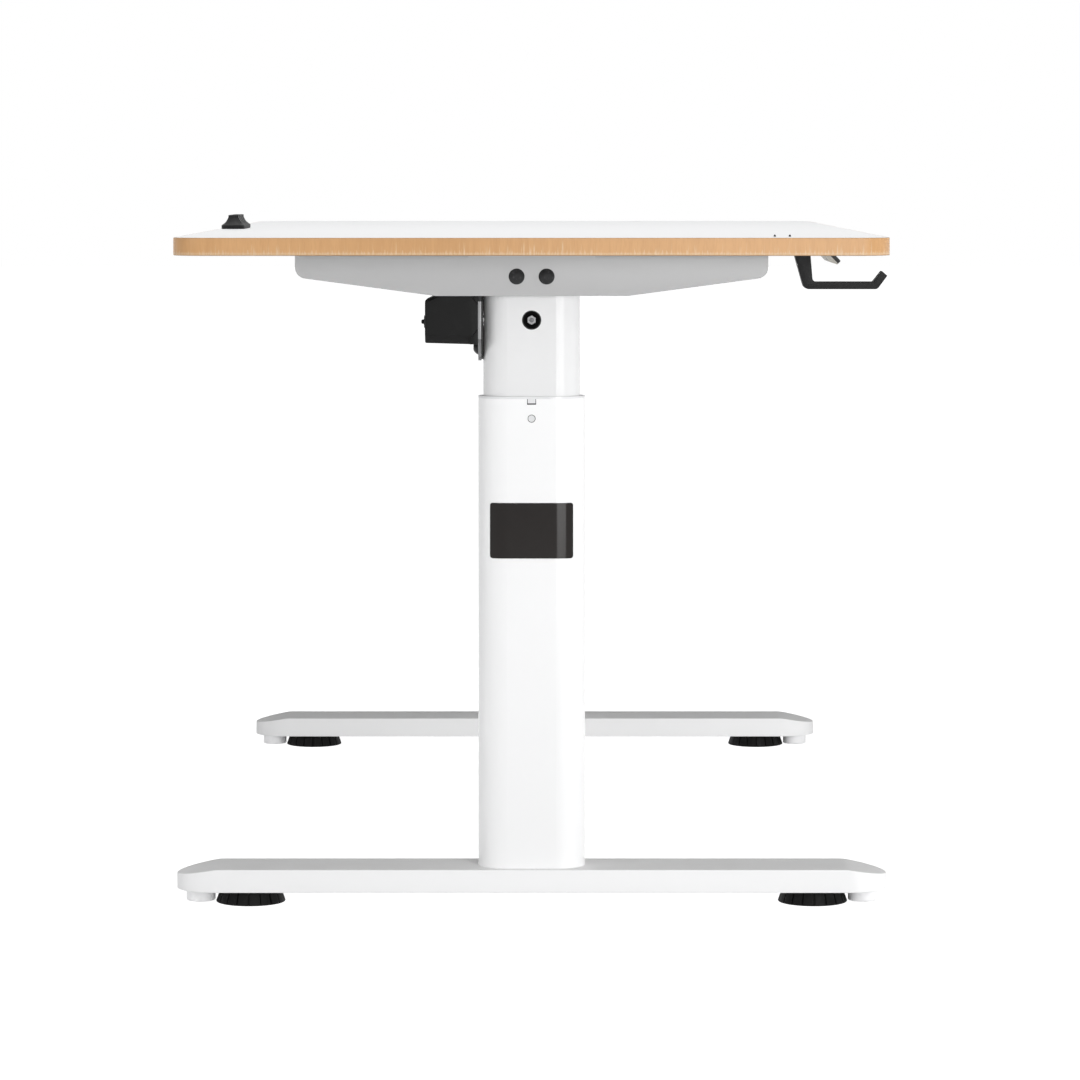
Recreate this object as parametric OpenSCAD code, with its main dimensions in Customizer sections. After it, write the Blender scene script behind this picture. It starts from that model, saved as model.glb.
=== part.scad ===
// Height adjustable standing desk: a two-column frame with telescopic obround legs, driven by one
// gear motor. Bevel gears in the head of each column turn a lead screw, and a hexagonal cross shaft
// carries the turn to the far column. Millimetres, +Z up, +X to the sitter's right, -Y to the sitter.

/* [Desktop] */
// Length of the desktop, left to right
top_length = 1500; // [1420:10:1800]
// Depth of the desktop, front to rear
top_depth = 755; // [705:10:795]
// Height of the work surface at the lowest setting
top_height = 710; // [708:1:740]
// Thickness of the board's core
core_t = 18.1; // [16:0.1:25]
// Thickness of the white laminate on the core
laminate_t = 0.8; // [0.5:0.1:1.5]
// Thickness of the wood edge band round the board
band_t = 1.5; // [0.8:0.1:3]
// Corner radius of the desktop in plan
corner_r = 35; // [10:1:60]

/* [Lift] */
// Length of inner column in the open, between collar and board, at the lowest setting
reveal = 150.9; // [148:0.1:170]
// Gap left between collar sleeve and slide shoe at the highest setting
stop_gap = 12.5; // [5:0.5:40]
// Distance between the two columns
column_spacing = 1300; // [1200:10:1320]
// Drop of the cross shaft's axis below the board
axis_drop = 69.7; // [68:0.1:76]

/* [Outer columns] */
// Width of an outer tube, across its flat faces
outer_w = 62; // [60:0.5:70]
// Depth of an outer tube, over its round ends
outer_d = 114; // [112:0.5:122]
// Wall of an outer tube
outer_wall = 2; // [1.5:0.1:2.5]

/* [Inner columns] */
// Width of an inner tube, across its flat faces
inner_w = 51.5; // [51:0.5:53]
// Depth of an inner tube, over its round ends
inner_d = 103.5; // [100:0.5:105]
// Wall of an inner tube
inner_wall = 1.8; // [1.5:0.1:2]
// Gap between an inner tube's foot and the plate below it
inner_rise = 14; // [10:1:20]
// Diameter of the cross shaft's holes in an inner tube
shaft_hole_d = 20.5; // [19:0.1:22]

/* [Guides] */
// Thickness of a collar's rim on the outer tube
collar_t = 2.4; // [2:0.1:4]
// Depth of a collar's sleeve inside the outer tube
collar_depth = 50; // [40:1:55]
// Width of a collar's locking tab
tab_w = 8.5; // [6:0.5:12]
// Height of a collar's locking tab
tab_h = 4.8; // [4:0.1:8]
// Gap round a collar's locking tab, in the outer tube's notch
tab_gap = 0.5; // [0.2:0.1:1]
// Gap under a collar's locking tab
tab_under_gap = 1.1; // [0.3:0.1:2]
// Gap round a collar's snap boss, in its hole
boss_gap = 0.5; // [0.1:0.1:1]
// Depth of the snap boss's face in its hole
boss_sink = 0.4; // [0:0.1:1]
// Diameter of a collar's snap boss
boss_d = 7.4; // [6:0.1:9]
// Drop of the snap boss below the outer tube's top
boss_drop = 20.8; // [16:0.1:30]
// Height of the slide shoe round an inner tube's foot
shoe_h = 36; // [30:1:38]
// Running gap of the plastic guides
guide_gap = 0.15; // [0.1:0.05:0.3]

/* [Feet] */
// Length of a foot
foot_l = 757.4; // [700:0.1:800]
// Width of a foot
foot_w = 81; // [78:0.5:90]
// Height of a foot's pressing
foot_h = 24.4; // [24:0.1:30]
// Steel thickness of a foot
foot_wall = 2.5; // [2:0.1:3]
// Length of the sloping nose at each end of a foot
nose_l = 43; // [30:1:50]
// Fall of the nose from the foot's top
nose_drop = 9.6; // [6:0.1:12]
// Height of a levelling pad
pad_h = 14.9; // [12:0.1:20]
// Diameter of a levelling pad on the floor
pad_d = 74; // [70:0.1:76]
// Diameter of a levelling pad at its top
pad_top_d = 64; // [60:0.1:70]
// Number of flutes round a pad
flutes = 18; // [12:1:24]
// Width of a flute
flute_w = 1.6; // [1:0.1:2.5]
// Distance of a pad from the foot's end
pad_inset = 78.7; // [78.7:0.1:90]
// Travel of a pad's screw
pad_travel = 10; // [6:1:10]
// Diameter of a pad's screw
stud_d = 8; // [6:1:10]
// Diameter of the end glide under a foot's nose
glide_d = 31; // [28:0.1:34]
// Gap between a levelling pad and the end glide beside it
glide_gap = 0.8; // [0.5:0.1:2]
// Height of the end glide above the floor
glide_lift = 1.5; // [1:0.1:4]

/* [Frame] */
// Sheet thickness of heads and side brackets
sheet_t = 2.5; // [2:0.1:3]
// Distance between the two faces of a head
head_w = 69; // [66:0.5:72]
// Length of a head, front to rear
head_l = 130; // [125:1:140]
// Height of a head
head_h = 41; // [38:0.5:42]
// Distance of a side bracket's end from the desktop's edge
bracket_inset = 126.5; // [125:0.5:140]
// Height of a side bracket at its middle
bracket_h = 43.8; // [42:0.1:46]
// Height of a side bracket at its ends
bracket_end_h = 24; // [20:0.1:30]
// Length of a side bracket's level lower edge
bracket_flat = 204; // [180:1:220]
// Width of a side bracket's flange under the board
flange_w = 38; // [30:1:50]
// Distance between the two bolts of a side bracket
bolt_pitch = 31.8; // [30:0.1:36]
// Drop of the bracket bolts below the board
bolt_drop = 23.1; // [20:0.1:26]
// Diameter of a bracket bolt's head
bolt_head_d = 17; // [14:0.5:18]
// Width of a cross rail
rail_w = 34; // [30:1:36]
// Height of a cross rail
rail_h = 36; // [32:1:38]
// Wall of a cross rail
rail_wall = 1.8; // [1.5:0.1:2.5]
// Distance between the two cross rails' centres
rail_pitch = 90; // [88:1:94]
// Length of a head's arm into a rail
arm_l = 180; // [150:1:220]
// Length of an arm left in the open
arm_open = 60; // [40:1:90]

/* [Drive] */
// Module of the bevel gears
gear_m = 1.5; // [1.4:0.05:1.5]
// Teeth of a lead screw's gear
gear_teeth = 24; // [24]
// Teeth of a pinion
pinion_teeth = 12; // [12]
// Face width of the bevel gears
face_w = 5; // [4:0.5:5.5]
// Play between two teeth
backlash = 0.25; // [0.15:0.05:0.35]
// Size of the cross shaft across its flats
hex_af = 8.4; // [7:0.1:8.6]
// Diameter of a lead screw
screw_d = 16; // [14:0.5:16]
// Outer diameter of the nut's tube
nut_tube_d = 30; // [28:0.5:32]
// Wall of the nut's tube
nut_tube_wall = 2; // [1.5:0.1:2.5]
// Length of a drive nut
nut_l = 40; // [30:1:45]

/* [Motor] */
// Depth of the motor's case, from its plate to its rear
motor_l = 55.6; // [52:0.1:70]
// Width of the motor's case
motor_w = 60; // [54:1:62]
// Height of the motor's case
motor_h = 55.5; // [52:0.1:56]
// Wall of the motor's case
motor_wall = 2.5; // [2:0.1:3]
// Thickness of the motor's plate
motor_plate_t = 3.4; // [2.5:0.1:4]
// Distance of the plate's screws from the shaft
motor_screw_r = 30; // [29:0.5:31]
// Diameter of a motor screw's head
motor_head_d = 15.5; // [12:0.5:16]
// Height of a motor screw's head
motor_head_h = 5.7; // [3:0.1:7]

/* [Under the board] */
// Length of the control box
box_l = 240; // [200:5:300]
// Depth of the control box
box_d = 100; // [90:1:110]
// Height of the control box
box_h = 36; // [32:1:38]
// Wall of the control box
box_wall = 2.5; // [2:0.1:3]
// Distance of the handset's near end from the desk's middle
handset_x = 300; // [150:5:500]
// Length of the handset
handset_l = 110; // [100:1:140]
// Width of the handset's face
handset_w = 33; // [30:0.5:33]
// Tilt of the handset's face
handset_tilt = 47; // [40:1:50]
// Distance of the handset's lower edge past the board's front
handset_reach = 15.9; // [10:0.1:20]
// Size of a key along the handset
key_l = 11; // [9:0.5:12]
// Size of a key across the handset
key_w = 9; // [7:0.5:11]
// Travel of a key
key_travel = 0.8; // [0.5:0.1:0.8]
// Distance of the bag hook's middle from the desktop's end
hook_inset = 83; // [80:1:120]
// Width of the bag hook
hook_w = 20; // [15:1:25]
// Thickness of the bag hook's bar
hook_t = 7.9; // [5:0.1:9]
// Thickness of the bag hook's flange
hook_flange_t = 1.3; // [1:0.1:2.5]
// Drop of the bag hook below the board
hook_drop = 36.8; // [34:0.1:50]

/* [On the board] */
// Length of the cable strip
strip_l = 128; // [120:1:150]
// Height of the cable strip
strip_h = 16.6; // [15:0.1:20]
// Width of the cable strip's foot
strip_w = 26.6; // [24:0.1:30]
// Width of the cable strip's crest
crest_w = 11.8; // [10:0.1:14]
// Number of cable slots
slots = 5; // [3:1:6]
// Diameter of a cable slot
slot_d = 7; // [6:0.1:8]
// Mouth of a cable slot
slot_mouth = 4.8; // [4.6:0.1:5.5]

/* [Blank plate] */
// Width of the blank plate on the left column
plate_w = 88.6; // [60:0.1:92]
// Height of the blank plate
plate_h = 58.9; // [40:0.1:80]
// Drop of the blank plate below the outer tube's top
plate_drop = 110.4; // [80:0.1:200]

/* [Hidden] */

$fn = 48;
eps = 0.01;
fit = 0.05;            // radial gap of a shaft in its bore
slip = 0.1;            // gap of a piece that is set in place
hang = 0.3;            // gap of a piece beside one that moves
LEFT = -1;
RIGHT = 1;
UP = [0, 0, 1];

// --- Levels and places that follow from the sizes above ---
board_t = core_t + laminate_t;
under_z = top_height - board_t;
axis_z = under_z - axis_drop;
column_x = column_spacing / 2;
foot_top = pad_h + foot_h;
tube_top = under_z - reveal - collar_t;
outer_l = tube_top - foot_top;
base_t = 8;                                 // plate welded into an outer tube's foot
inner_z = foot_top + base_t + inner_rise;
shoe_rim = 2;                               // rim of a slide shoe under the inner tube
lift_travel = tube_top - collar_depth - stop_gap - (inner_z - shoe_rim + shoe_h);
head_top = under_z - sheet_t;               // an inner tube ends under the head's top sheet
web_x = head_w / 2;                         // outer face of a head
pad_y = foot_l / 2 - pad_inset;
glide_y = pad_y + pad_d / 2 + glide_gap + glide_d / 2;

// Bevel gears: long and short addendum, the pinion's teeth the longer
pressure = 20;
shift = 0.35;
root_play = 0.2;
cone_r = gear_m / 2 * norm([gear_teeth, pinion_teeth]);
gear_cone = atan(gear_teeth / pinion_teeth);
pinion_cone = 90 - gear_cone;
gear_r = gear_m * gear_teeth / 2;
pinion_r = gear_m * pinion_teeth / 2;
flank_steps = 3;

// Gear housing, measured from the shafts' common point
housing_low = -38;
housing_high = 38;
housing_gap = 0.15;
cavity_r = gear_r + 2;
pocket_r = pinion_r + 2.8;
pocket_x = gear_r + 1.5;
bearing_od = 28;
bearing_id = 12;
bearing_w = 8;
bearing_top = -21;
hub_r = 7;
hub_end = inner_w / 2 + 1.6;
bush_r = 9;
bush_in = pocket_x + 0.2;
motor_shaft_r = 5;
journal_top = -7;
thrust_h = 4;                               // collar of a lead screw under its housing
thrust_z = axis_z + housing_low - hang;
nut_flange_h = 8;
nut_flange_d = nut_tube_d + 4;
nut_top = thrust_z - thrust_h - 6;
nut_tube_top = nut_top - nut_flange_h;
screw_low = nut_top - nut_l - lift_travel - 5;

// Motor, on the rear of the left column
plate_y = inner_d / 2 + 1.85;               // front face of the motor's plate
gasket_inset = 1.5;                         // gap between the gasket's edge and the plate's
case_y = plate_y + motor_plate_t;
case_low = axis_z - 26.1;
case_mid = case_low + motor_h / 2;
screw_lobe_r = 14;
motor_boss_r = 11;
rear_boss_z = axis_z - 2.5;

// Foot bolts
bolt_x = 18;
bolt_y = 38;
foot_bolt_r = 4;
foot_head_r = 7;
foot_head_h = 5;

// Rails
rail_end = column_x - web_x - arm_open;
rail_z = under_z - rail_h / 2;
rail_screw_steps = [arm_l / 9, arm_l * 0.39];
arm_w = rail_w - 2 * rail_wall - 2 * 0.2;
arm_h = rail_h - 2 * rail_wall - 2 * 0.2;

// Screws of the side brackets, from a bracket's end
bracket_half = top_depth / 2 - bracket_inset;
flange_screw_steps = [bracket_half * 0.09, bracket_half * 0.6];

// Control box, behind the rear rail
box_y = rail_pitch / 2 + rail_w / 2 + 13;
box_ear = 12;
lid_t = 2;
vent_pitch = 12;
socket_w = 13;
socket_h = 9;
socket_deep = 11;
socket_pitch = 22;
strip_block = 3;                            // wall of the socket strip round its sockets

// Handset: u runs down its face, v stands out from it
front_y = -top_depth / 2;
face_t = 5;
back_t = 6;
tip_t = 1.4;
tip_y = front_y - handset_reach;
tip_z = under_z - 3 - handset_w * sin(handset_tilt);
key_names = 4;
key_rise = 0.9;

// Wood screws
wood_r = 2;
wood_l = 12;
wood_head_r = 4;
wood_head_h = 2.5;
hook_screw_out = 1.2;                       // how far a hook screw's tip stands out of the top

// Cable strip
strip_y = top_depth / 2 - 1 - strip_w / 2;
foot_rim = 5;
flare_r = (strip_w - crest_w) / 2;

// --- Helpers ---

function unit(v) = v / norm(v);

// Points of the arc of radius r that rounds corner p between its neighbours a and b
function fillet(a, p, b, r, n) =
  let (u = unit(a - p), v = unit(b - p), half = acos(u * v) / 2,
       c = p + unit(u + v) * r / sin(half),
       s = p + u * r / tan(half) - c, e = p + v * r / tan(half) - c,
       start = atan2(s[1], s[0]), turn = atan2(s[0] * e[1] - s[1] * e[0], s * e))
  [for (i = [0:n]) c + r * [cos(start + turn * i / n), sin(start + turn * i / n)]];

// Outline through pts with its corners rounded to radii
function rounded(pts, radii, n = 5) =
  let (last = len(pts))
  [for (i = [0:last - 1])
    each radii[i] <= 0 ? [pts[i]]
      : fillet(pts[(i + last - 1) % last], pts[i], pts[(i + 1) % last], radii[i], n)];

function along(z, r, n, from, to) =
  [for (i = [0:n]) z + r * [cos(from + (to - from) * i / n), sin(from + (to - from) * i / n)]];

// Stadium of overall size d along Y and w along X
module obround(d, w) {
  square([w, d - w], center = true);
  for (s = [-1, 1]) translate([0, s * (d - w) / 2]) circle(d = w);
}

// Wall between two stadiums, both round ends concentric
module obround_ring(d, w, wall) {
  difference() {
    obround(d, w);
    obround(d - 2 * wall, w - 2 * wall);
  }
}

module round_rect(l, w, r) {
  square([l - 2 * r, w], center = true);
  square([l, w - 2 * r], center = true);
  for (x = [-1, 1], y = [-1, 1]) translate([x * (l / 2 - r), y * (w / 2 - r)]) circle(r);
}

// Extrudes a YZ outline along X, from x0 to x1
module profile_x(x0, x1) {
  translate([x0, 0, 0]) rotate([90, 0, 90]) linear_extrude(x1 - x0) children();
}

// Draws its children for one column: outward is -X in them
module on_column(side) {
  translate([side * column_x, 0, 0]) mirror([side > 0 ? 1 : 0, 0, 0]) children();
}

// Draws its children round the crossing point of the shafts in one column
module at_gears(side) {
  translate([side * column_x, 0, axis_z]) children();
}

module rod_x(r, x0, x1) { translate([x0, 0, 0]) rotate([0, 90, 0]) cylinder(r = r, h = x1 - x0); }
module rod_y(r, y0, y1) { translate([0, y1, 0]) rotate([90, 0, 0]) cylinder(r = r, h = y1 - y0); }

// Domed screw head of radius r and height h, standing on Z = 0
module dome(r, h) {
  ball = (r * r + h * h) / (2 * h);
  intersection() {
    cylinder(r = r, h = h);
    translate([0, 0, h - ball]) sphere(r = ball);
  }
}

// Hexagonal socket in a screw head
module hex_socket(af, depth) { cylinder(d = af / cos(30), h = depth, $fn = 6); }

// --- Feet ---

// Side outline of a foot, moved inwards by w
function foot_side(w) =
  let (half = foot_l / 2, a = atan(nose_drop / nose_l), fall = w / cos(a),
       top = foot_top - w, bend = half - nose_l - (fall - w) / tan(a),
       tip = foot_top - nose_drop - fall)
  [[-half, pad_h - (w > 0 ? 1 : 0)], [half, pad_h - (w > 0 ? 1 : 0)], [half, tip],
   [bend, top], [-bend, top], [-half, tip]];

module foot_solid(w) {
  intersection() {
    translate([0, 0, pad_h - 1]) linear_extrude(foot_h + 2) obround(foot_l - 2 * w, foot_w - 2 * w);
    profile_x(-foot_w, foot_w) polygon(foot_side(w));
  }
}

module foot_bolt_places() {
  for (x = [-1, 1], y = [-1, 1]) translate([x * bolt_x, y * bolt_y, 0]) children();
}

module foot(side) {
  color("white") translate([side * column_x, 0, 0]) difference() {
    foot_solid(0);
    foot_solid(foot_wall);
    foot_bolt_places() translate([0, 0, foot_top - foot_wall - 1])
      cylinder(r = foot_bolt_r + 0.5, h = foot_wall + 2);
  }
}

// Floor of a foot, with the pads' weld nuts and the ways in to the foot bolts
module sole_plates() {
  nut_h = stud_d * 0.8;
  color("whitesmoke") for (side = [LEFT, RIGHT]) translate([side * column_x, 0, pad_h]) difference() {
    union() {
      linear_extrude(foot_wall)
        obround(foot_l - 2 * foot_wall - 2 * slip, foot_w - 2 * foot_wall - 2 * slip);
      for (y = [-1, 1]) translate([0, y * pad_y, foot_wall])
        cylinder(d = stud_d * 1.85, h = nut_h, $fn = 6);
    }
    for (y = [-1, 1]) translate([0, y * pad_y, -1]) cylinder(r = stud_d / 2 + fit, h = foot_h);
    foot_bolt_places() translate([0, 0, -1]) cylinder(r = foot_head_r + 1, h = foot_wall + 2);
  }
}

// White stubs under the noses, with a rounded rim
module end_glides() {
  rim = 1.5;
  h = pad_h - glide_lift;
  color("whitesmoke") for (side = [LEFT, RIGHT], y = [-1, 1])
    translate([side * column_x, y * glide_y, glide_lift]) rotate_extrude()
      polygon(concat([[0, 0]], along([glide_d / 2 - rim, rim], rim, 5, -90, 0),
                     [[glide_d / 2, h], [0, h]]));
}

module foot_bolts() {
  low = foot_top - foot_wall - foot_head_h;
  color("dimgray") for (side = [LEFT, RIGHT]) translate([side * column_x, 0, low]) foot_bolt_places()
    difference() {
      union() {
        cylinder(r = foot_head_r, h = foot_head_h);
        cylinder(r = foot_bolt_r, h = foot_head_h + foot_wall + base_t);
      }
      translate([0, 0, -eps]) hex_socket(6, 3);
    }
}

// Ribbed foot of black plastic, with its screw
module leveller(side, end) {
  lip = 1.2;
  slope = atan((pad_d - pad_top_d) / 2 / (pad_h - lip));
  stud_l = foot_wall + stud_d * 0.8 + pad_travel;
  color("#202020") translate([side * column_x, end * pad_y, 0]) {
    difference() {
      rotate_extrude() polygon([[0, 0], [pad_d / 2 - lip, 0], [pad_d / 2, lip],
                                [pad_top_d / 2, pad_h], [0, pad_h]]);
      for (i = [0:flutes - 1]) rotate(i * 360 / flutes) translate([pad_d / 2 + 0.2, 0, 0])
        rotate([0, -slope, 0]) translate([-1.4, -flute_w / 2, -2]) cube([4, flute_w, pad_h + 6]);
    }
    translate([0, 0, pad_h - 1]) cylinder(d = stud_d, h = stud_l + 1);
  }
}

// --- Outer columns ---

module outer_column(side) {
  color("white") on_column(side) translate([0, 0, foot_top]) difference() {
    linear_extrude(outer_l) obround_ring(outer_d, outer_w, outer_wall);
    // notch of the collar's tab
    translate([-outer_w / 2 - 1, -tab_w / 2 - tab_gap, outer_l - tab_h - tab_under_gap])
      cube([outer_wall + 2, tab_w + 2 * tab_gap, tab_h + tab_under_gap + 1]);
    translate([0, 0, outer_l - boss_drop]) rod_x(boss_d / 2 + boss_gap, -outer_w / 2 - 1, 0);
  }
}

// Plate welded into the outer tube's foot, with the tube that carries the drive nut
module column_bases() {
  tube_l = nut_tube_top - foot_top;
  color("silver") for (side = [LEFT, RIGHT]) translate([side * column_x, 0, foot_top]) difference() {
    union() {
      linear_extrude(base_t) obround(outer_d - 2 * outer_wall - 2 * slip,
                                     outer_w - 2 * outer_wall - 2 * slip);
      cylinder(d = nut_tube_d, h = tube_l);
      translate([0, 0, base_t]) cylinder(d1 = nut_tube_d + 6, d2 = nut_tube_d, h = 3);
    }
    translate([0, 0, base_t]) cylinder(d = nut_tube_d - 2 * nut_tube_wall, h = tube_l);
    foot_bolt_places() translate([0, 0, -1]) cylinder(r = foot_bolt_r + fit, h = base_t + 2);
  }
}

// Plastic rim and sleeve that guide the inner tube, with a locking tab and a snap boss
module collar(side) {
  bore_gap = guide_gap;
  color("#e8e8ea") on_column(side) translate([0, 0, tube_top]) {
    difference() {
      union() {
        linear_extrude(collar_t) obround(outer_d, outer_w);
        translate([0, 0, -collar_depth]) linear_extrude(collar_depth + 1)
          obround(outer_d - 2 * outer_wall - 2 * slip, outer_w - 2 * outer_wall - 2 * slip);
        translate([-outer_w / 2, -tab_w / 2, -tab_h]) cube([outer_wall + 1, tab_w, tab_h + 1]);
        translate([0, 0, -boss_drop])
          rod_x(boss_d / 2, boss_sink - outer_w / 2, 1 + outer_wall - outer_w / 2);
      }
      translate([0, 0, -collar_depth - 1]) linear_extrude(collar_depth + collar_t + 2)
        obround(inner_d + 2 * bore_gap, inner_w + 2 * bore_gap);
    }
  }
}

module drive_nuts() {
  body_l = nut_l - nut_flange_h;
  color("goldenrod") for (side = [LEFT, RIGHT]) translate([side * column_x, 0, nut_tube_top])
    difference() {
      union() {
        cylinder(d = nut_flange_d, h = nut_flange_h);
        translate([0, 0, -body_l])
          cylinder(r = nut_tube_d / 2 - nut_tube_wall - slip, h = body_l + 1);
      }
      translate([0, 0, -body_l - 1]) cylinder(r = screw_d / 2 + fit, h = nut_l + 2);
    }
}

// Bare dark plate, bent round the left column's outer face
module blank_plate() {
  t = 0.6;
  z = tube_top - plate_drop - plate_h / 2;
  color("#2c2826") on_column(LEFT) intersection() {
    translate([0, 0, z - plate_h / 2]) linear_extrude(plate_h) difference() {
      obround(outer_d + 2 * t, outer_w + 2 * t);
      obround(outer_d, outer_w);
    }
    translate([0, 0, z]) rotate([90, 0, -90]) translate([0, 0, 1])
      linear_extrude(outer_w) round_rect(plate_w, plate_h, 2);
  }
}

// --- Inner columns and heads ---

module inner_column(side) {
  color("white") difference() {
    translate([side * column_x, 0, inner_z]) linear_extrude(head_top - inner_z)
      obround_ring(inner_d, inner_w, inner_wall);
    at_gears(side) rod_x(shaft_hole_d / 2, -inner_w, inner_w);
    if (side == LEFT) at_gears(side) {
      rod_y(motor_shaft_r + 3, 0, inner_d);
      motor_screw_places() rod_y(3 + slip, 0, inner_d);
    }
  }
}

// Plastic shoe that runs inside the outer tube, held on the inner tube's foot
module slide_shoes() {
  color("#e8e8ea") for (side = [LEFT, RIGHT])
    translate([side * column_x, 0, inner_z - shoe_rim]) difference() {
    linear_extrude(shoe_h) obround(outer_d - 2 * outer_wall - 2 * guide_gap,
                                   outer_w - 2 * outer_wall - 2 * guide_gap);
    translate([0, 0, shoe_rim]) linear_extrude(shoe_h)
      obround(inner_d + 2 * fit, inner_w + 2 * fit);
    translate([0, 0, -1]) linear_extrude(shoe_rim + 2)
      obround(inner_d - 2 * inner_wall, inner_w - 2 * inner_wall);
  }
}

module bracket_bolt_places() {
  for (y = [-1, 1]) translate([0, y * bolt_pitch / 2, under_z - bolt_drop]) children();
}

// Folded saddle on an inner tube's top, with the two arms that slide into the cross rails
module head(side) {
  weld_nut_t = web_x - sheet_t - inner_w / 2 - 0.8;
  color("gainsboro") on_column(side) difference() {
    union() {
      translate([-web_x, -head_l / 2, head_top]) cube([head_w, head_l, sheet_t]);
      for (x = [-web_x, web_x - sheet_t]) translate([x, -head_l / 2, under_z - head_h])
        cube([sheet_t, head_l, head_h - eps]);
      bracket_bolt_places() rotate([0, 0, 0]) translate([-web_x + sheet_t, 0, 0]) rotate([0, 90, 0])
        cylinder(d = 15, h = weld_nut_t, $fn = 6);
      for (y = [-1, 1]) translate([web_x - sheet_t / 2, y * rail_pitch / 2, rail_z])
        rotate([0, 90, 0]) linear_extrude(arm_l + sheet_t / 2) difference() {
          square([arm_h, arm_w], center = true);
          square([arm_h - 3, arm_w - 3], center = true);
        }
    }
    bracket_bolt_places() rod_x(foot_bolt_r + fit, -head_w, -inner_w / 2 - 0.5);
  }
}

module rail(side) {
  color("gainsboro") difference() {
    translate([-rail_end, side * rail_pitch / 2, rail_z]) rotate([0, 90, 0])
      linear_extrude(2 * rail_end) difference() {
        square([rail_h, rail_w], center = true);
        square([rail_h - 2 * rail_wall, rail_w - 2 * rail_wall], center = true);
      }
    rail_screw_places(side) translate([0, 0, -1]) cylinder(r = 3 + fit, h = rail_wall + 2);
  }
}

module rail_screw_places(side) {
  for (x = [-1, 1], step = rail_screw_steps)
    translate([x * (rail_end - step), side * rail_pitch / 2, under_z - rail_h]) children();
}

module rail_screws() {
  color("dimgray") for (side = [-1, 1]) rail_screw_places(side) difference() {
    union() {
      cylinder(r = 3, h = rail_wall + 0.2);
      translate([0, 0, -3.5]) cylinder(r = 5.2, h = 3.5);
    }
    translate([0, 0, -3.5 - eps]) hex_socket(4, 2);
  }
}

// --- Side brackets ---

function bracket_outline() =
  let (half = top_depth / 2 - bracket_inset, low = under_z - bracket_h,
       end_z = under_z - bracket_end_h)
  rounded([[-half, under_z], [-half, end_z], [-bracket_flat / 2, low], [bracket_flat / 2, low],
           [half, end_z], [half, under_z]], [0, 12, 20, 20, 12, 0], 6);

module flange_screw_places() {
  half = top_depth / 2 - bracket_inset;
  for (y = [-1, 1], step = flange_screw_steps)
    translate([-web_x + flange_w / 2, y * (half - step), under_z - sheet_t]) children();
}

module side_bracket(side) {
  half = top_depth / 2 - bracket_inset;
  start = head_l / 2 + 3;
  color("#d8d8d8") on_column(side) difference() {
    union() {
      profile_x(-web_x - sheet_t, -web_x) polygon(bracket_outline());
      for (y = [-1, 1]) scale([1, 1, 1]) translate([-web_x - sheet_t / 2, 0, under_z - sheet_t])
        linear_extrude(sheet_t) polygon(rounded(
          [[0, y * start], [flange_w, y * start], [flange_w, y * half], [0, y * half]],
          [0, 8, 8, 0]));
    }
    bracket_bolt_places() rod_x(foot_bolt_r + 0.4, -head_w, -web_x + 1);
    flange_screw_places() translate([0, 0, -1]) cylinder(r = wood_r + 0.4, h = sheet_t + 2);
  }
}

module bracket_bolts() {
  reach = sheet_t + web_x - inner_w / 2 - 0.9;
  color("#262626") for (side = [LEFT, RIGHT]) on_column(side) bracket_bolt_places()
    translate([-web_x - sheet_t, 0, 0]) rotate([0, -90, 0]) difference() {
      union() {
        dome(bolt_head_d / 2, 4.8);
        translate([0, 0, -reach]) cylinder(r = foot_bolt_r, h = reach + 1);
      }
      translate([0, 0, 2.8]) hex_socket(5, 3);
    }
}

// --- Desktop ---

module board_outline(inset) {
  round_rect(top_length - 2 * inset, top_depth - 2 * inset, corner_r - inset);
}

// One wood screw, head down, its sheet of thickness t resting against the board
module wood_screw(t) {
  translate([0, 0, -wood_head_h]) cylinder(r = wood_head_r, h = wood_head_h);
  translate([0, 0, -1]) cylinder(r = wood_r, h = t + wood_l + 1);
}

module board_screw_places() {
  for (side = [LEFT, RIGHT]) on_column(side) flange_screw_places() children();
  box_screw_places() children();
  handset_screw_places() children();
}

module desktop_core() {
  color("burlywood") difference() {
    translate([0, 0, under_z]) linear_extrude(core_t) board_outline(band_t);
    board_screw_places() cylinder(r = wood_r + 0.02, h = sheet_t + wood_l);
    hook_screw_places() cylinder(r = wood_r + 0.02, h = board_t + 5);
  }
}

module top_laminate() {
  color("white") difference() {
    translate([0, 0, under_z + core_t]) linear_extrude(laminate_t) board_outline(band_t);
    hook_screw_places() cylinder(r = wood_r + 0.02, h = board_t + 5);
  }
}

module edge_band() {
  color("tan") translate([0, 0, under_z]) linear_extrude(board_t) difference() {
    board_outline(0);
    board_outline(band_t);
  }
}

module desktop_screws() {
  color("dimgray") board_screw_places() wood_screw(sheet_t);
}

// --- Drive ---

function inv(a) = tan(a) * 180 / PI - a;

// Half the tooth's angle at radius r of the equivalent spur gear of pitch radius rp
function tooth_half(r, rp, x) =
  let (base = rp * cos(pressure), side = gear_m * (PI / 4 + x * tan(pressure)) - backlash / 2)
  side / rp * 180 / PI + inv(pressure) - inv(acos(min(1, base / r)));

// One ring of tooth outlines on the cone at share k of the cone distance; cone is the pitch cone
function tooth_ring(teeth, cone, x, k) =
  let (rp = cone_r * tan(cone), low = rp - gear_m * (1 + root_play - x), high = rp + gear_m * (1 + x))
  [for (t = [0:teeth - 1], s = [-1, 1], i = [0:flank_steps])
    let (r = s < 0 ? low + (high - low) * i / flank_steps : high - (high - low) * i / flank_steps,
         a = t * 360 / teeth + s * tooth_half(r, rp, x) / cos(cone),
         out = cone_r * sin(cone) + (r - rp) * cos(cone),
         up = -cone_r * cos(cone) + (r - rp) * sin(cone))
    k * [out * cos(a), out * sin(a), up]];

function flat_ring(ring, r, z) = [for (p = ring) concat(unit([p[0], p[1]]) * r, [z])];

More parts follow.
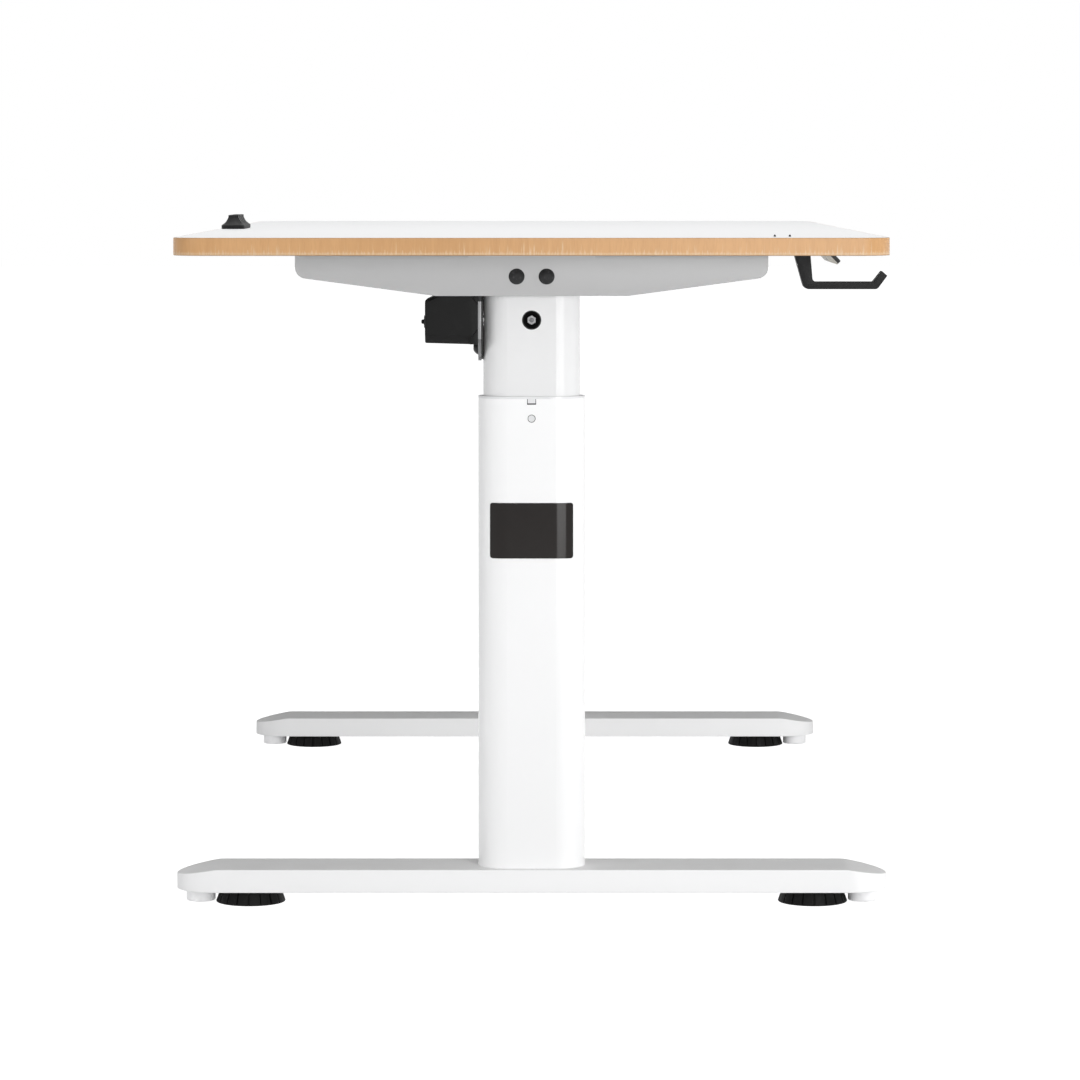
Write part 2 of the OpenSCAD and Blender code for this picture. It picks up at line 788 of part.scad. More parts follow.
// Bevel gear about -Z with its apex at the origin: back face at depth back, front face at front
module bevel(teeth, cone, x, back, front) {
  outer = tooth_ring(teeth, cone, x, 1);
  inner = tooth_ring(teeth, cone, x, (cone_r - face_w) / cone_r);
  n = len(outer);
  low_r = cone_r * sin(cone) - gear_m * (1 + root_play - x) * cos(cone) - 0.6;
  top_r = (cone_r - face_w) * sin(cone) - gear_m * (1 + root_play) * cos(cone) - 0.4;
  rings = [flat_ring(outer, low_r, -back), outer, inner, flat_ring(outer, top_r, -front)];
  polyhedron(
    points = [for (ring = rings) each ring],
    faces = concat(
      [[for (j = [0:n - 1]) j]],
      [for (i = [0:2], j = [0:n - 1], half = [0, 1])
        let (a = i * n + j, b = i * n + (j + 1) % n)
        half == 0 ? [a, a + n, b + n] : [a, b + n, b]],
      [[for (j = [0:n - 1]) 3 * n + n - 1 - j]]));
}

module screw_gear(side) {
  back = 13.5;
  color("silver") at_gears(side) difference() {
    union() {
      bevel(gear_teeth, gear_cone, -shift, back, 8.4);
      translate([0, 0, bearing_top]) cylinder(r = 9, h = -bearing_top - back + 1);
    }
    translate([0, 0, bearing_top - 1]) cylinder(d = bearing_id, h = 30);
  }
}

// Pinion about -Z, apex at the origin, a tooth space at -X and at -Y
module pinion() {
  rotate(180 / pinion_teeth) bevel(pinion_teeth, pinion_cone, shift, pocket_x - 0.6, 15);
}

module cross_pinions() {
  color("silver") for (side = [LEFT, RIGHT]) at_gears(side) difference() {
    union() {
      rotate([0, -90, 0]) pinion();
      rod_x(hub_r, pocket_x - 1, hub_end);
    }
    rotate([0, 90, 0]) cylinder(d = (hex_af + 2 * fit) / cos(30), h = 60, $fn = 6);
  }
}

// Output shaft of the motor, with its pinion
module motor_pinion() {
  color("silver") at_gears(LEFT) {
    rotate([90, 0, 0]) pinion();
    rod_y(motor_shaft_r, pocket_x - 1, case_y + 8);
  }
}

module cross_shaft() {
  near = column_x + inner_w / 2 - 0.7;
  color("lightgray") translate([0, 0, axis_z]) difference() {
    translate([-near, 0, 0]) rotate([0, 90, 0])
      cylinder(d = hex_af / cos(30), h = near + column_x + hub_end, $fn = 6);
    rod_x(hex_af * 0.28, -near - 1, -near + 6);
  }
}

module lead_screw(side) {
  color("lightgray") at_gears(side) {
    translate([0, 0, bearing_top - bearing_w - 2])
      cylinder(d = bearing_id - 0.02, h = journal_top - bearing_top + bearing_w + 2);
    translate([0, 0, housing_low - hang]) cylinder(d = screw_d, h = bearing_top - bearing_w - housing_low
      + hang - slip);
    translate([0, 0, housing_low - hang - thrust_h]) cylinder(d = screw_d + 4, h = thrust_h);
    translate([0, 0, screw_low - axis_z]) {
      cylinder(d1 = screw_d - 4, d2 = screw_d, h = 2);
      translate([0, 0, 2]) cylinder(d = screw_d, h = thrust_z - thrust_h - screw_low - 2);
    }
  }
}

// Block inside an inner tube that carries the bearings of one set of gears
module gear_housing(side) {
  d = inner_d - 2 * inner_wall - 2 * housing_gap;
  w = inner_w - 2 * inner_wall - 2 * housing_gap;
  color("#303030") at_gears(side) difference() {
    translate([0, 0, housing_low]) linear_extrude(housing_high - housing_low) obround(d, w);
    translate([0, 0, bearing_top]) cylinder(r = cavity_r, h = housing_high - bearing_top + 1);
    translate([0, 0, bearing_top - bearing_w]) cylinder(r = bearing_od / 2, h = bearing_w + 1);
    translate([0, 0, housing_low - 1]) cylinder(r = screw_d / 2 + 2 * slip, h = 30);
    rod_x(pocket_r, 0, pocket_x);
    rod_x(bush_r + 0.02, -inner_w, inner_w);
    if (side == LEFT) {
      rod_y(pocket_r, 0, pocket_x);
      rod_y(motor_shaft_r + fit, 0, inner_d);
      motor_screw_places() rod_y(3 + 0.02, 0, inner_d);
    }
  }
}

module screw_bearings() {
  color("lightsteelblue") for (side = [LEFT, RIGHT]) at_gears(side)
    translate([0, 0, bearing_top - bearing_w + 0.02]) difference() {
      cylinder(d = bearing_od - 0.04, h = bearing_w - 0.04);
      translate([0, 0, -1]) cylinder(d = bearing_id + 2 * fit, h = bearing_w + 2);
    }
}

// Plain bushes: the outer ones hold the shaft's hexagon, the inner ones the pinions' hubs
module shaft_bushes() {
  color("#181818") for (side = [LEFT, RIGHT]) at_gears(side) {
    difference() {
      rod_x(bush_r, bush_in, hub_end - 0.4);
      rod_x(hub_r + fit, 0, inner_w);
    }
    difference() {
      rod_x(bush_r, -inner_w / 2 + 2, -bush_in);
      rod_x(hex_af / 2 / cos(30) + fit, -inner_w, 0);
    }
  }
}

// --- Motor ---

// Draws its children at the two motor screws, about the shafts' common point
module motor_screw_places() {
  for (z = [-1, 1]) translate([0, 0, z * motor_screw_r]) children();
}

// Mounting plate with a round lobe at each screw
// Outline of the motor's plate, moved inwards by w, with its holes
module motor_plate_outline(w) {
  wide = motor_w / 2 - w;
  lobe = screw_lobe_r - w;
  difference() {
    union() {
      square([2 * wide, 40], center = true);
      for (s = [-1, 1]) {
        translate([0, s * motor_screw_r]) circle(lobe);
        polygon([[-wide, s * 19.9], [wide, s * 19.9], [lobe * 0.9, s * (motor_screw_r + 6)],
                 [-lobe * 0.9, s * (motor_screw_r + 6)]]);
      }
    }
    circle(motor_boss_r + slip);
    for (s = [-1, 1]) translate([0, s * motor_screw_r]) circle(3 + slip);
  }
}

module motor_plate() {
  color("lightgray") translate([-column_x, plate_y, axis_z]) rotate([-90, 0, 0])
    linear_extrude(motor_plate_t) motor_plate_outline(0);
}

// Black gasket behind the plate, with round spacers that reach the curved back of the tube
module motor_spacers() {
  color("#202020") difference() {
    union() {
      at_gears(LEFT) motor_screw_places() rod_y(7.2, inner_d / 2 - 3, plate_y - 0.02);
      translate([-column_x, inner_d / 2 + slip, axis_z]) rotate([-90, 0, 0])
        linear_extrude(plate_y - 0.02 - inner_d / 2 - slip) motor_plate_outline(gasket_inset);
    }
    at_gears(LEFT) motor_screw_places() rod_y(3 + slip, 0, inner_d);
    translate([-column_x, 0, axis_z - 60]) linear_extrude(120) obround(inner_d + 0.04, inner_w + 0.04);
  }
}

// Faceted shape of the motor's case, moved inwards by w
module case_form(w) {
  half = motor_w / 2 - w;
  low = case_low + w;
  high = case_low + motor_h - w;
  rear = case_y + motor_l - w;
  edge = 9 - w * 0.6;
  intersection() {
    profile_x(-half, half) polygon([
      [case_y - w, low + 8.2], [case_y + 6.4, low + 0.2], [rear, low + 1.6], [rear, high - 10.2],
      [rear - 15, high], [case_y + 8, high], [case_y - w, high - 10]]);
    translate([0, rear + 1, 0]) rotate([90, 0, 0]) linear_extrude(motor_l + 4) polygon([
      [-half, low + edge], [edge - half, low], [half - edge, low], [half, low + edge],
      [half, high - edge], [half - edge, high], [edge - half, high], [-half, high - edge]]);
  }
}

module motor_case() {
  rear = case_y + motor_l;
  color("#292929") translate([-column_x, 0, 0]) difference() {
    union() {
      case_form(0);
      translate([0, 0, rear_boss_z]) {
        rod_y(8.1, rear - 1, rear + 1.6);
        rod_y(2.1, rear, rear + 4.4);
      }
    }
    case_form(motor_wall);
  }
}

// Motor and its reduction gear, with the bore of the output shaft
module motor_core() {
  r = motor_w / 2 - motor_wall - 5.5;
  color("gray") translate([-column_x, 0, 0]) difference() {
    union() {
      translate([0, 0, axis_z]) {
        rod_y(r, case_y + 8, case_y + 16);
        rod_y(r - 8, case_y + slip, case_y + 9);
        rod_y(motor_boss_r, plate_y + 0.5, case_y + 1);
      }
      translate([0, 0, axis_z]) rod_y(r - 6, case_y + 15, case_y + motor_l - motor_wall - 0.4);
    }
    translate([0, 0, axis_z]) rod_y(motor_shaft_r + fit, 0, case_y + 9);
  }
}

module motor_screws() {
  color("#262626") at_gears(LEFT) motor_screw_places() {
    difference() {
      translate([0, case_y, 0]) rotate([-90, 0, 0]) dome(motor_head_d / 2, motor_head_h);
      rotate([-90, 0, 0]) translate([0, 0, case_y + 3]) hex_socket(5, 6);
    }
    rod_y(3, inner_d / 2 - 16, case_y + 1);
  }
}

// --- Control box ---

module box_screw_places() {
  for (x = [-1, 1], y = [20, box_d - 20])
    translate([x * (box_l / 2 + box_ear / 2 + 1), box_y + y, under_z - sheet_t]) children();
}

module control_box() {
  z = under_z - box_h;
  color("#3a3a3a") difference() {
    union() {
      translate([0, box_y + box_d / 2, z]) linear_extrude(box_h) round_rect(box_l, box_d, 6);
      for (x = [-1, 1]) translate([x * (box_l / 2), box_y + box_d / 2, under_z - sheet_t])
        linear_extrude(sheet_t) round_rect(2 * box_ear + 4, box_d - 16, 5);
    }
    translate([0, box_y + box_d / 2, z + lid_t]) linear_extrude(box_h)
      round_rect(box_l - 2 * box_wall, box_d - 2 * box_wall, 4);
    translate([0, box_y + box_d / 2, z - 1]) linear_extrude(box_h)
      round_rect(box_l - 2 * box_wall - 6, box_d - 2 * box_wall - 6, 3);
    box_screw_places() translate([0, 0, -1]) cylinder(r = wood_r + 0.4, h = sheet_t + 2);
    at_sockets() translate([-1, -socket_strip_w() / 2 - slip, -socket_strip_h() / 2 - slip])
      cube([20, socket_strip_w() + 2 * slip, socket_strip_h() + 2 * slip]);
  }
}

module control_lid() {
  z = under_z - box_h;
  l = box_l - 2 * box_wall - 6 - 2 * slip;
  w = box_d - 2 * box_wall - 6 - 2 * slip;
  color("#333333") translate([0, box_y + box_d / 2, z]) {
    difference() {
      linear_extrude(lid_t) round_rect(l, w, 3 - slip);
      for (i = [-4:4]) translate([(i - 4) * vent_pitch, -w / 4, -1])
        cube([vent_pitch * 0.3, w / 2, lid_t + 2]);
    }
  }
}

module circuit_board() {
  z = under_z - box_h + lid_t;
  l = box_l - 2 * box_wall - 2 * slip - 2 * socket_deep - 6;
  w = box_d - 2 * box_wall - 2;
  color("darkgreen") translate([0, box_y + box_d / 2, z + slip]) {
    translate([-l / 2, -w / 2, 5]) cube([l, w, 1.6]);
    for (x = [-1, 1], y = [-1, 1]) translate([x * (l / 2 - 8), y * (w / 2 - 8), 0])
      cylinder(r = 3, h = 5.5);
    for (x = [0.3, 0.1]) translate([-x * l, 0, 6]) cylinder(r = box_h / 4, h = box_h / 2);
    translate([l * 0.1, -w / 4, 6]) cube([l * 0.15, w / 2, box_h * 0.4]);
  }
}

function socket_strip_w() = 2 * socket_pitch + socket_w + 2 * strip_block;
function socket_strip_h() = socket_h + 2 * strip_block;

// At the middle of the socket strip's open face, on the box's right end
module at_sockets() {
  translate([box_l / 2 - socket_deep - 3, box_y + box_d / 2, under_z - box_h / 2]) children();
}

// Three sockets: motor, handset and power
module socket_strip() {
  w = socket_strip_w();
  h = socket_strip_h();
  deep = socket_deep + 3;
  color("#101010") at_sockets() difference() {
    translate([0, -w / 2, -h / 2]) cube([deep, w, h]);
    for (i = [-1:1]) translate([3, i * socket_pitch - socket_w / 2, -socket_h / 2])
      cube([socket_deep + 1, socket_w, socket_h]);
  }
}

// --- Handset ---

// Point at u down the face and v out of it, as [y, z]
function face_point(u, v) =
  [tip_y, tip_z] + (handset_w - u) * [cos(handset_tilt), sin(handset_tilt)]
    + v * [-sin(handset_tilt), cos(handset_tilt)];

module handset_screw_places() {
  for (x = [12, handset_l - 12])
    translate([handset_x + x, front_y + 26, under_z - sheet_t]) children();
}

// Places its children on the face, X along the handset, Y down it, Z out of it
module on_face(x, u) {
  p = face_point(u, 0);
  translate([handset_x + x, p[0], p[1]]) rotate([handset_tilt, 0, 0]) children();
}

module key_hole(gap) {
  linear_extrude(20, center = true) round_rect(key_l + 2 * gap, key_w + 2 * gap, 2);
}

function key_x(i) = handset_l - 16 - (key_names - 1 - i) * (key_l + 5);

module handset_front() {
  color("#1c1c1c") difference() {
    profile_x(handset_x, handset_x + handset_l) polygon(rounded(
      [face_point(0, 0), face_point(handset_w, 0), face_point(handset_w, -face_t),
       face_point(0, -face_t)], [1.5, 1.5, 0, 0], 4));
    for (i = [0:key_names - 1]) on_face(key_x(i), handset_w - 13) key_hole(0.25);
    // display recess
    on_face(20, handset_w - 13) translate([0, 0, -0.6]) linear_extrude(5) round_rect(26, 14, 1);
  }
}

module handset_back() {
  flange_y = front_y + 36;
  top = face_point(0, -face_t);
  color("#c4c0b4") difference() {
    profile_x(handset_x, handset_x + handset_l) polygon([
      face_point(handset_w, -face_t), face_point(handset_w, -face_t - tip_t),
      face_point(handset_w - 9, -face_t - back_t), face_point(9, -face_t - back_t),
      [top[0] + 8, under_z - sheet_t], [flange_y, under_z - sheet_t], [flange_y, under_z],
      [top[0] - 1, under_z], top]);
    handset_screw_places() translate([0, 0, -1]) cylinder(r = wood_r + 0.4, h = sheet_t + 2);
  }
}

module key(i) {
  color("#d0d0d0") on_face(key_x(i), handset_w - 13) translate([0, 0, -face_t + key_travel + 0.2])
    linear_extrude(face_t - key_travel - 0.2 + key_rise) round_rect(key_l, key_w, 1.8);
}

// --- Bag hook ---

hook_x = -top_length / 2 + hook_inset;

module hook_screw_places() {
  for (y = [102.6, 118.6]) translate([hook_x, front_y + y, under_z - hook_flange_t]) children();
}

// Side outline of the hook: flange, tapering arm, level bar and a tip that turns up
function hook_outline() =
  let (low = under_z - hook_drop, bar = low + hook_t, f = front_y)
  rounded([[f + 125.5, under_z], [f + 81.1, under_z], [f + 78.7, bar], [f + 14.6, bar],
           [f + 5.4, bar + 11.6], [f - 0.6, bar + 6.4], [f + 10, low], [f + 88, low],
           [f + 97.8, under_z - hook_flange_t], [f + 125.5, under_z - hook_flange_t]],
          [0.5, 0, 2, 1, 0.6, 0.6, 3, 5, 0.5, 0.5], 6);

module bag_hook() {
  color("#2d2d2d") difference() {
    profile_x(hook_x - hook_w / 2, hook_x + hook_w / 2) polygon(hook_outline());
    hook_screw_places() translate([0, 0, -eps])
      cylinder(r1 = wood_r + hook_flange_t + 0.02, r2 = wood_r + 0.02, h = hook_flange_t + 2 * eps);
  }
}

module hook_screws() {
  shank = hook_flange_t + board_t - 2.6;
  color("#202020") hook_screw_places() {
    cylinder(r1 = wood_r + hook_flange_t, r2 = wood_r, h = hook_flange_t);
    cylinder(r = wood_r, h = shank);
    translate([0, 0, shank]) cylinder(r1 = wood_r, r2 = 1, h = 2.6 + hook_screw_out);
  }
}

// --- Cable strip ---

// Points of the curve that leaves a for b and bends towards c
function curve(a, c, b, n) =
  [for (i = [0:n]) let (s = i / n) (1 - s) * (1 - s) * a + 2 * s * (1 - s) * c + s * s * b];

// Section of the strip: a rim, a slope that hollows a little, and an upright crest
function strip_outline() =
  let (half = strip_w / 2, crest = crest_w / 2,
       foot = [half, foot_rim - 0.6], top = [crest, foot_rim + flare_r * 1.15],
       hollow = [half - flare_r * 0.68, foot_rim + flare_r * 0.3],
       slope = curve(foot, hollow, top, 8))
  concat([[-half + 0.8, 0], [half - 0.8, 0], [half, 0.8]], slope,
         [[crest, strip_h - 0.8], [crest - 0.8, strip_h], [0.8 - crest, strip_h],
          [-crest, strip_h - 0.8]],
         [for (i = [len(slope) - 1:-1:0]) [-slope[i][0], slope[i][1]]], [[-half, 0.8]]);

module cable_strip() {
  pitch = strip_l / slots;
  hole_z = foot_rim + slot_d / 2 - 0.8;
  color("#303030") translate([0, strip_y, top_height]) difference() {
    profile_x(-strip_l / 2, strip_l / 2) polygon(strip_outline());
    for (i = [0:slots - 1]) translate([(i + 0.5) * pitch - strip_l / 2, 0, 0]) {
      translate([0, 0, hole_z]) rod_y(slot_d / 2, -strip_w, strip_w);
      translate([-slot_mouth / 2, -strip_w, hole_z]) cube([slot_mouth, 2 * strip_w, strip_h]);
    }
  }
}

// --- One line for each node ---

foot(LEFT);  // foot_left
foot(RIGHT);  // foot_right
sole_plates();
end_glides();
foot_bolts();
column_bases();
outer_column(LEFT);  // outer_column_left
outer_column(RIGHT);  // outer_column_right
collar(LEFT);  // collar_left
collar(RIGHT);  // collar_right
drive_nuts();
blank_plate();
leveller(LEFT, -1);  // leveller_front_left
leveller(RIGHT, -1);  // leveller_front_right
leveller(LEFT, 1);  // leveller_rear_left
leveller(RIGHT, 1);  // leveller_rear_right
desktop_core();
top_laminate();
edge_band();
inner_column(LEFT);  // inner_column_left
inner_column(RIGHT);  // inner_column_right
slide_shoes();
head(LEFT);  // head_left
head(RIGHT);  // head_right
rail(-1);  // rail_front
rail(1);  // rail_rear
rail_screws();
side_bracket(LEFT);  // side_bracket_left
side_bracket(RIGHT);  // side_bracket_right
bracket_bolts();
desktop_screws();
gear_housing(LEFT);  // gear_housing_left
gear_housing(RIGHT);  // gear_housing_right
screw_bearings();
shaft_bushes();
motor_plate();
motor_spacers();
motor_case();
motor_core();
motor_screws();
control_box();
control_lid();
circuit_board();
socket_strip();
handset_back();
handset_front();
bag_hook();
hook_screws();
cable_strip();
lead_screw(LEFT);  // lead_screw_left
lead_screw(RIGHT);  // lead_screw_right
screw_gear(LEFT);  // screw_gear_left
screw_gear(RIGHT);  // screw_gear_right
cross_shaft();
cross_pinions();
motor_pinion();
key(0);  // key_up
key(1);  // key_down
key(2);  // key_memory_1
key(3);  // key_memory_2
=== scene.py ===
"""Looks of a height adjustable standing desk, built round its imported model.

Every length is in metres. +X runs along the desktop to the sitter's right, +Y to the rear and
+Z up, with the origin on the floor at the middle of the footprint.
"""

import logging
import math
from dataclasses import dataclass
from enum import Enum
from functools import cache
from typing import Self

import bmesh
import bpy
import numpy as np
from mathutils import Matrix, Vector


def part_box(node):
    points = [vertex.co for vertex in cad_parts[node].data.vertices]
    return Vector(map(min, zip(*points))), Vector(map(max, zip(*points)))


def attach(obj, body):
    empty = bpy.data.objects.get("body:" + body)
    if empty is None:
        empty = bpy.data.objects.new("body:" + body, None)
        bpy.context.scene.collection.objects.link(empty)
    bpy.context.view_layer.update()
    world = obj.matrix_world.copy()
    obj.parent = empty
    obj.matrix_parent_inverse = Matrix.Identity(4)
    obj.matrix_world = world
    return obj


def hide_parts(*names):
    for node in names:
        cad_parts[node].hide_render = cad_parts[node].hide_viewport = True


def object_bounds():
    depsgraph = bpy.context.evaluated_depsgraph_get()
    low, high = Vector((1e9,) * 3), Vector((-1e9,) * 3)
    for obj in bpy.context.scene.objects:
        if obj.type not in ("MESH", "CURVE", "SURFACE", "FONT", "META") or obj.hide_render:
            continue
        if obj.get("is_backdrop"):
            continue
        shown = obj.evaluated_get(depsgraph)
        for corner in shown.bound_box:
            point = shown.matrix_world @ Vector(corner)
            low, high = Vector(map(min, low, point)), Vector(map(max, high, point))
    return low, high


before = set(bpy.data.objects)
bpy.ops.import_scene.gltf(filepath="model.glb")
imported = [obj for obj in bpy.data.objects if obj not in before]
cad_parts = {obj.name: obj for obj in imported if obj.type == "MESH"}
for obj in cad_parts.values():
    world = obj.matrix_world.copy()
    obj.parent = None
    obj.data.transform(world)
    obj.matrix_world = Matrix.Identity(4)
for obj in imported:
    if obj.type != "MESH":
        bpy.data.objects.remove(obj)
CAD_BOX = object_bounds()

LOG = logging.getLogger("desk")
MM = 0.001
CORE = 18.1 * MM
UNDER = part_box("top_laminate")[0].z - CORE
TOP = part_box("top_laminate")[1].z
COLUMN_X = 0.65
DESK_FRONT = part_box("edge_band")[0].y
DESK_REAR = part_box("edge_band")[1].y
ROUND = 2 * math.pi
MERGE = 1e-6

Triple = tuple[float, float, float]
Colour = Triple
Points = np.ndarray
Socket = bpy.types.NodeSocket
Thing = bpy.types.Object
Material = bpy.types.Material
Tree = bpy.types.NodeTree
Outputs = bpy.types.NodeOutputs


class Sign(Enum):
    """Which way from the middle a piece lies: the sign of its place."""

    @property
    def word(self) -> str:
        """The member's name as node names give it."""
        return self.name.lower()


class Side(Sign):
    """Which column a piece belongs to: the sign of its X."""

    LEFT = -1
    RIGHT = 1


class End(Sign):
    """Which end of a foot a piece belongs to: the sign of its Y."""

    FRONT = -1
    REAR = 1


class Axis(Enum):
    """The axis that a flat outline is carried along."""

    X = "x"
    Y = "y"
    Z = "z"


# --- Outlines and surfaces ---


def polar(radius: Points | float, angle: Points) -> Points:
    """Flat points at a radius and an angle: (radius * cos a, radius * sin a)."""
    return np.stack([radius * np.cos(angle), radius * np.sin(angle)], -1)


def mm(values: list) -> Points:
    """Numbers given in millimetres, as an array in metres."""
    return np.array(values) * MM


def around(count: int) -> Points:
    """Evenly spaced angles of a full turn, without the last."""
    return np.linspace(0, ROUND, count, endpoint=False)


def arc(centre: tuple[float, float], radius: float, start: float, stop: float, count: int) -> Points:
    """Points of an arc, centre + radius * (cos a, sin a), with a between two angles in degrees."""
    return np.array(centre) + polar(radius, np.radians(np.linspace(start, stop, count)))


def round_rectangle(length: float, width: float, radius: float, steps: int = 9) -> Points:
    """A rectangle's outline with round corners, anticlockwise from the +X side.

    Args:
        length: Size along the first axis.
        width: Size along the second axis.
        radius: Radius of the corners.
        steps: Points of each corner.

    Returns:
        Points of shape (4 * steps, 2), as many for every size, so that outlines join ring to ring.
    """
    x, y = length / 2 - radius, width / 2 - radius
    corners = ((x, y, 0), (-x, y, 90), (-x, -y, 180), (x, -y, 270))
    return np.concatenate([arc((a, b), radius, turn, turn + 90, steps) for a, b, turn in corners])


def rounded(points: Points, radii: Points, steps: int = 6) -> Points:
    """An outline with each corner replaced by a tangent arc.

    The arc's ends lie radius / tan(half the corner's angle) from the corner, and its middle
    on the corner's bisector.

    Args:
        points: Corners, of shape (n, 2).
        radii: A radius for each corner; zero leaves it sharp.
        steps: Points of each arc.

    Returns:
        The outline's points, of shape (m, 2).
    """
    out = []
    for before, corner, after, radius in zip(np.roll(points, 1, 0), points, np.roll(points, -1, 0), radii):
        if radius <= 0:
            out.append(corner[None])
            continue
        u, v = before - corner, after - corner
        u, v = u / np.linalg.norm(u), v / np.linalg.norm(v)
        half = math.acos(np.clip(u @ v, -1, 1)) / 2
        centre = corner + (u + v) / np.linalg.norm(u + v) * radius / math.sin(half)
        first = corner + u * radius / math.tan(half) - centre
        last = corner + v * radius / math.tan(half) - centre
        turn = math.atan2(first[0] * last[1] - first[1] * last[0], first @ last)
        out.append(centre + polar(radius, math.atan2(first[1], first[0]) + turn * np.linspace(0, 1, steps)))
    return np.concatenate(out)


def anticlockwise(outline: Points) -> Points:
    """The outline, run backwards if its signed area, half the sum of x dy - y dx, is negative.

    Args:
        outline: Points of shape (n, 2).

    Returns:
        The same points in anticlockwise order.
    """
    x, y = outline.T
    area = np.sum(x * np.roll(y, -1) - y * np.roll(x, -1))
    return outline if area > 0 else outline[::-1]


def inset(outline: Points, depth: float) -> Points:
    """An anticlockwise outline moved inwards along the bisectors of its corners.

    Args:
        outline: Points of shape (n, 2).
        depth: Distance inwards.

    Returns:
        The moved points, of the same shape.
    """
    edge = np.roll(outline, -1, 0) - outline
    edge /= np.maximum(np.linalg.norm(edge, axis=1, keepdims=True), 1e-12)
    normal = np.stack([-edge[:, 1], edge[:, 0]], 1)
    before = np.roll(normal, 1, 0)
    return outline + depth * (normal + before) / np.maximum(1 + (normal * before).sum(1, keepdims=True), 0.3)


def lift(points: Points, depth: Points | float, axis: Axis) -> Points:
    """Flat points set in space: (y, z) for X, (x, z) for Y and (x, y) for Z.

    Args:
        points: Flat points, of shape (..., 2).
        depth: Place along the axis, a number or an array that fits the points.
        axis: The axis that the outline is carried along.

    Returns:
        Points of shape (..., 3).
    """
    a, b = points[..., 0], points[..., 1]
    c = np.broadcast_to(np.asarray(depth, float), a.shape)
    return np.stack({Axis.X: (c, a, b), Axis.Y: (a, c, b), Axis.Z: (a, b, c)}[axis], -1)


class Shell:
    """Surfaces gathered into one mesh: grids of points, and rings closed by a face."""

    def __init__(self) -> None:
        """Starts with no points."""
        self.points: list[Points] = []
        self.faces: list[list[int]] = []
        self.count = 0

    def grid(self, rings: Points, along: bool = False) -> Self:
        """Adds quads between closed rings.

        Args:
            rings: Points of shape (rings, points of a ring, 3).
            along: Whether the last ring joins the first.

        Returns:
            The shell itself.
        """
        rows, columns = rings.shape[:2]
        index = np.arange(rows * columns).reshape(rows, columns) + self.count
        if along:
            index = np.concatenate([index, index[:1]], 0)
        index = np.concatenate([index, index[:, :1]], 1)
        quads = np.stack([index[:-1, :-1], index[1:, :-1], index[1:, 1:], index[:-1, 1:]], -1)
        self.faces += quads.reshape(-1, 4).tolist()
        self.points.append(rings.reshape(-1, 3))
        self.count += rows * columns
        return self

    def solid(self, rings: Points) -> Self:
        """Adds quads between closed rings, and a face over the first and the last ring.

        Args:
            rings: Points of shape (rings, points of a ring, 3).

        Returns:
            The shell itself.
        """
        self.grid(rings)
        for ring in (rings[0], rings[-1]):
            self.faces.append(list(range(self.count, self.count + len(ring))))
            self.points.append(ring)
            self.count += len(ring)
        return self

    def slab(self, outline: Points, low: float, high: float, edge: float, axis: Axis,
             steps: int = 4) -> Self:
        """Adds a plate between two depths, its edges rounded by quarter circles.

        Ring k of an edge is the outline moved in by edge * (1 - sin a) at a depth of
        edge * (1 - cos a) from the face, with a from 0 to 90 degrees.

        Args:
            outline: Flat points, anticlockwise.
            low: Depth of the first face.
            high: Depth of the second face.
            edge: Radius of the edges.
            axis: The axis through the plate.
            steps: Rings of each edge.

        Returns:
            The shell itself.
        """
        turn = np.linspace(0, math.pi / 2, steps)
        insets = edge * (1 - np.sin(turn))
        depths = low + edge * (1 - np.cos(turn))
        insets = np.concatenate([insets, insets[::-1]])
        depths = np.concatenate([depths, low + high - depths[::-1]])
        return self.solid(np.stack([lift(inset(outline, i), d, axis) for i, d in zip(insets, depths)]))

    def lathe(self, profile: Points, centre: Triple, axis: Axis, segments: int = 48, sign: int = 1) -> Self:
        """Turns a profile of (radius, height) points about an axis through centre.

        Args:
            profile: Points of shape (n, 2), closed at each end by a zero radius.
            centre: Where height zero lies.
            axis: The axis of the turn.
            segments: Steps round the axis.
            sign: -1 to run the height backwards.

        Returns:
            The shell itself.
        """
        flat = polar(profile[:, :1], around(segments))
        return self.grid(lift(flat, sign * profile[:, 1:], axis) + np.array(centre))

    def piece(self, name: str, sharp: float = 35.0) -> Thing:
        """Makes the mesh object, with merged points and faces that point outwards.

        Args:
            name: Name of the object.
            sharp: Angle in degrees over which an edge stays sharp.

        Returns:
            The new object, at the origin.
        """
        mesh = bpy.data.meshes.new(name)
        mesh.from_pydata(np.concatenate(self.points).tolist(), [], self.faces)
        return smooth(place(name, merged(mesh)), sharp)


def merged(mesh: bpy.types.Mesh, flatten: bool = False) -> bpy.types.Mesh:
    """Joins a mesh's doubled points, then turns its faces outwards or joins the level ones.

    Args:
        mesh: The mesh, changed in place.
        flatten: Whether to join level faces, for a mesh whose faces point outwards already.

    Returns:
        The same mesh.
    """
    work = bmesh.new()
    work.from_mesh(mesh)
    bmesh.ops.remove_doubles(work, verts=work.verts, dist=MERGE)
    if flatten:
        bmesh.ops.dissolve_limit(work, angle_limit=math.radians(0.5), verts=work.verts, edges=work.edges)
    else:
        bmesh.ops.recalc_face_normals(work, faces=work.faces)
    work.to_mesh(mesh)
    work.free()
    return mesh


def place(name: str, data: bpy.types.ID) -> Thing:
    """Makes an object of a mesh, a light or a camera and links it to the scene.

    Args:
        name: Name of the object.
        data: What it shows.

    Returns:
        The new object, at the origin.
    """
    thing = bpy.data.objects.new(name, data)
    bpy.context.scene.collection.objects.link(thing)
    return thing


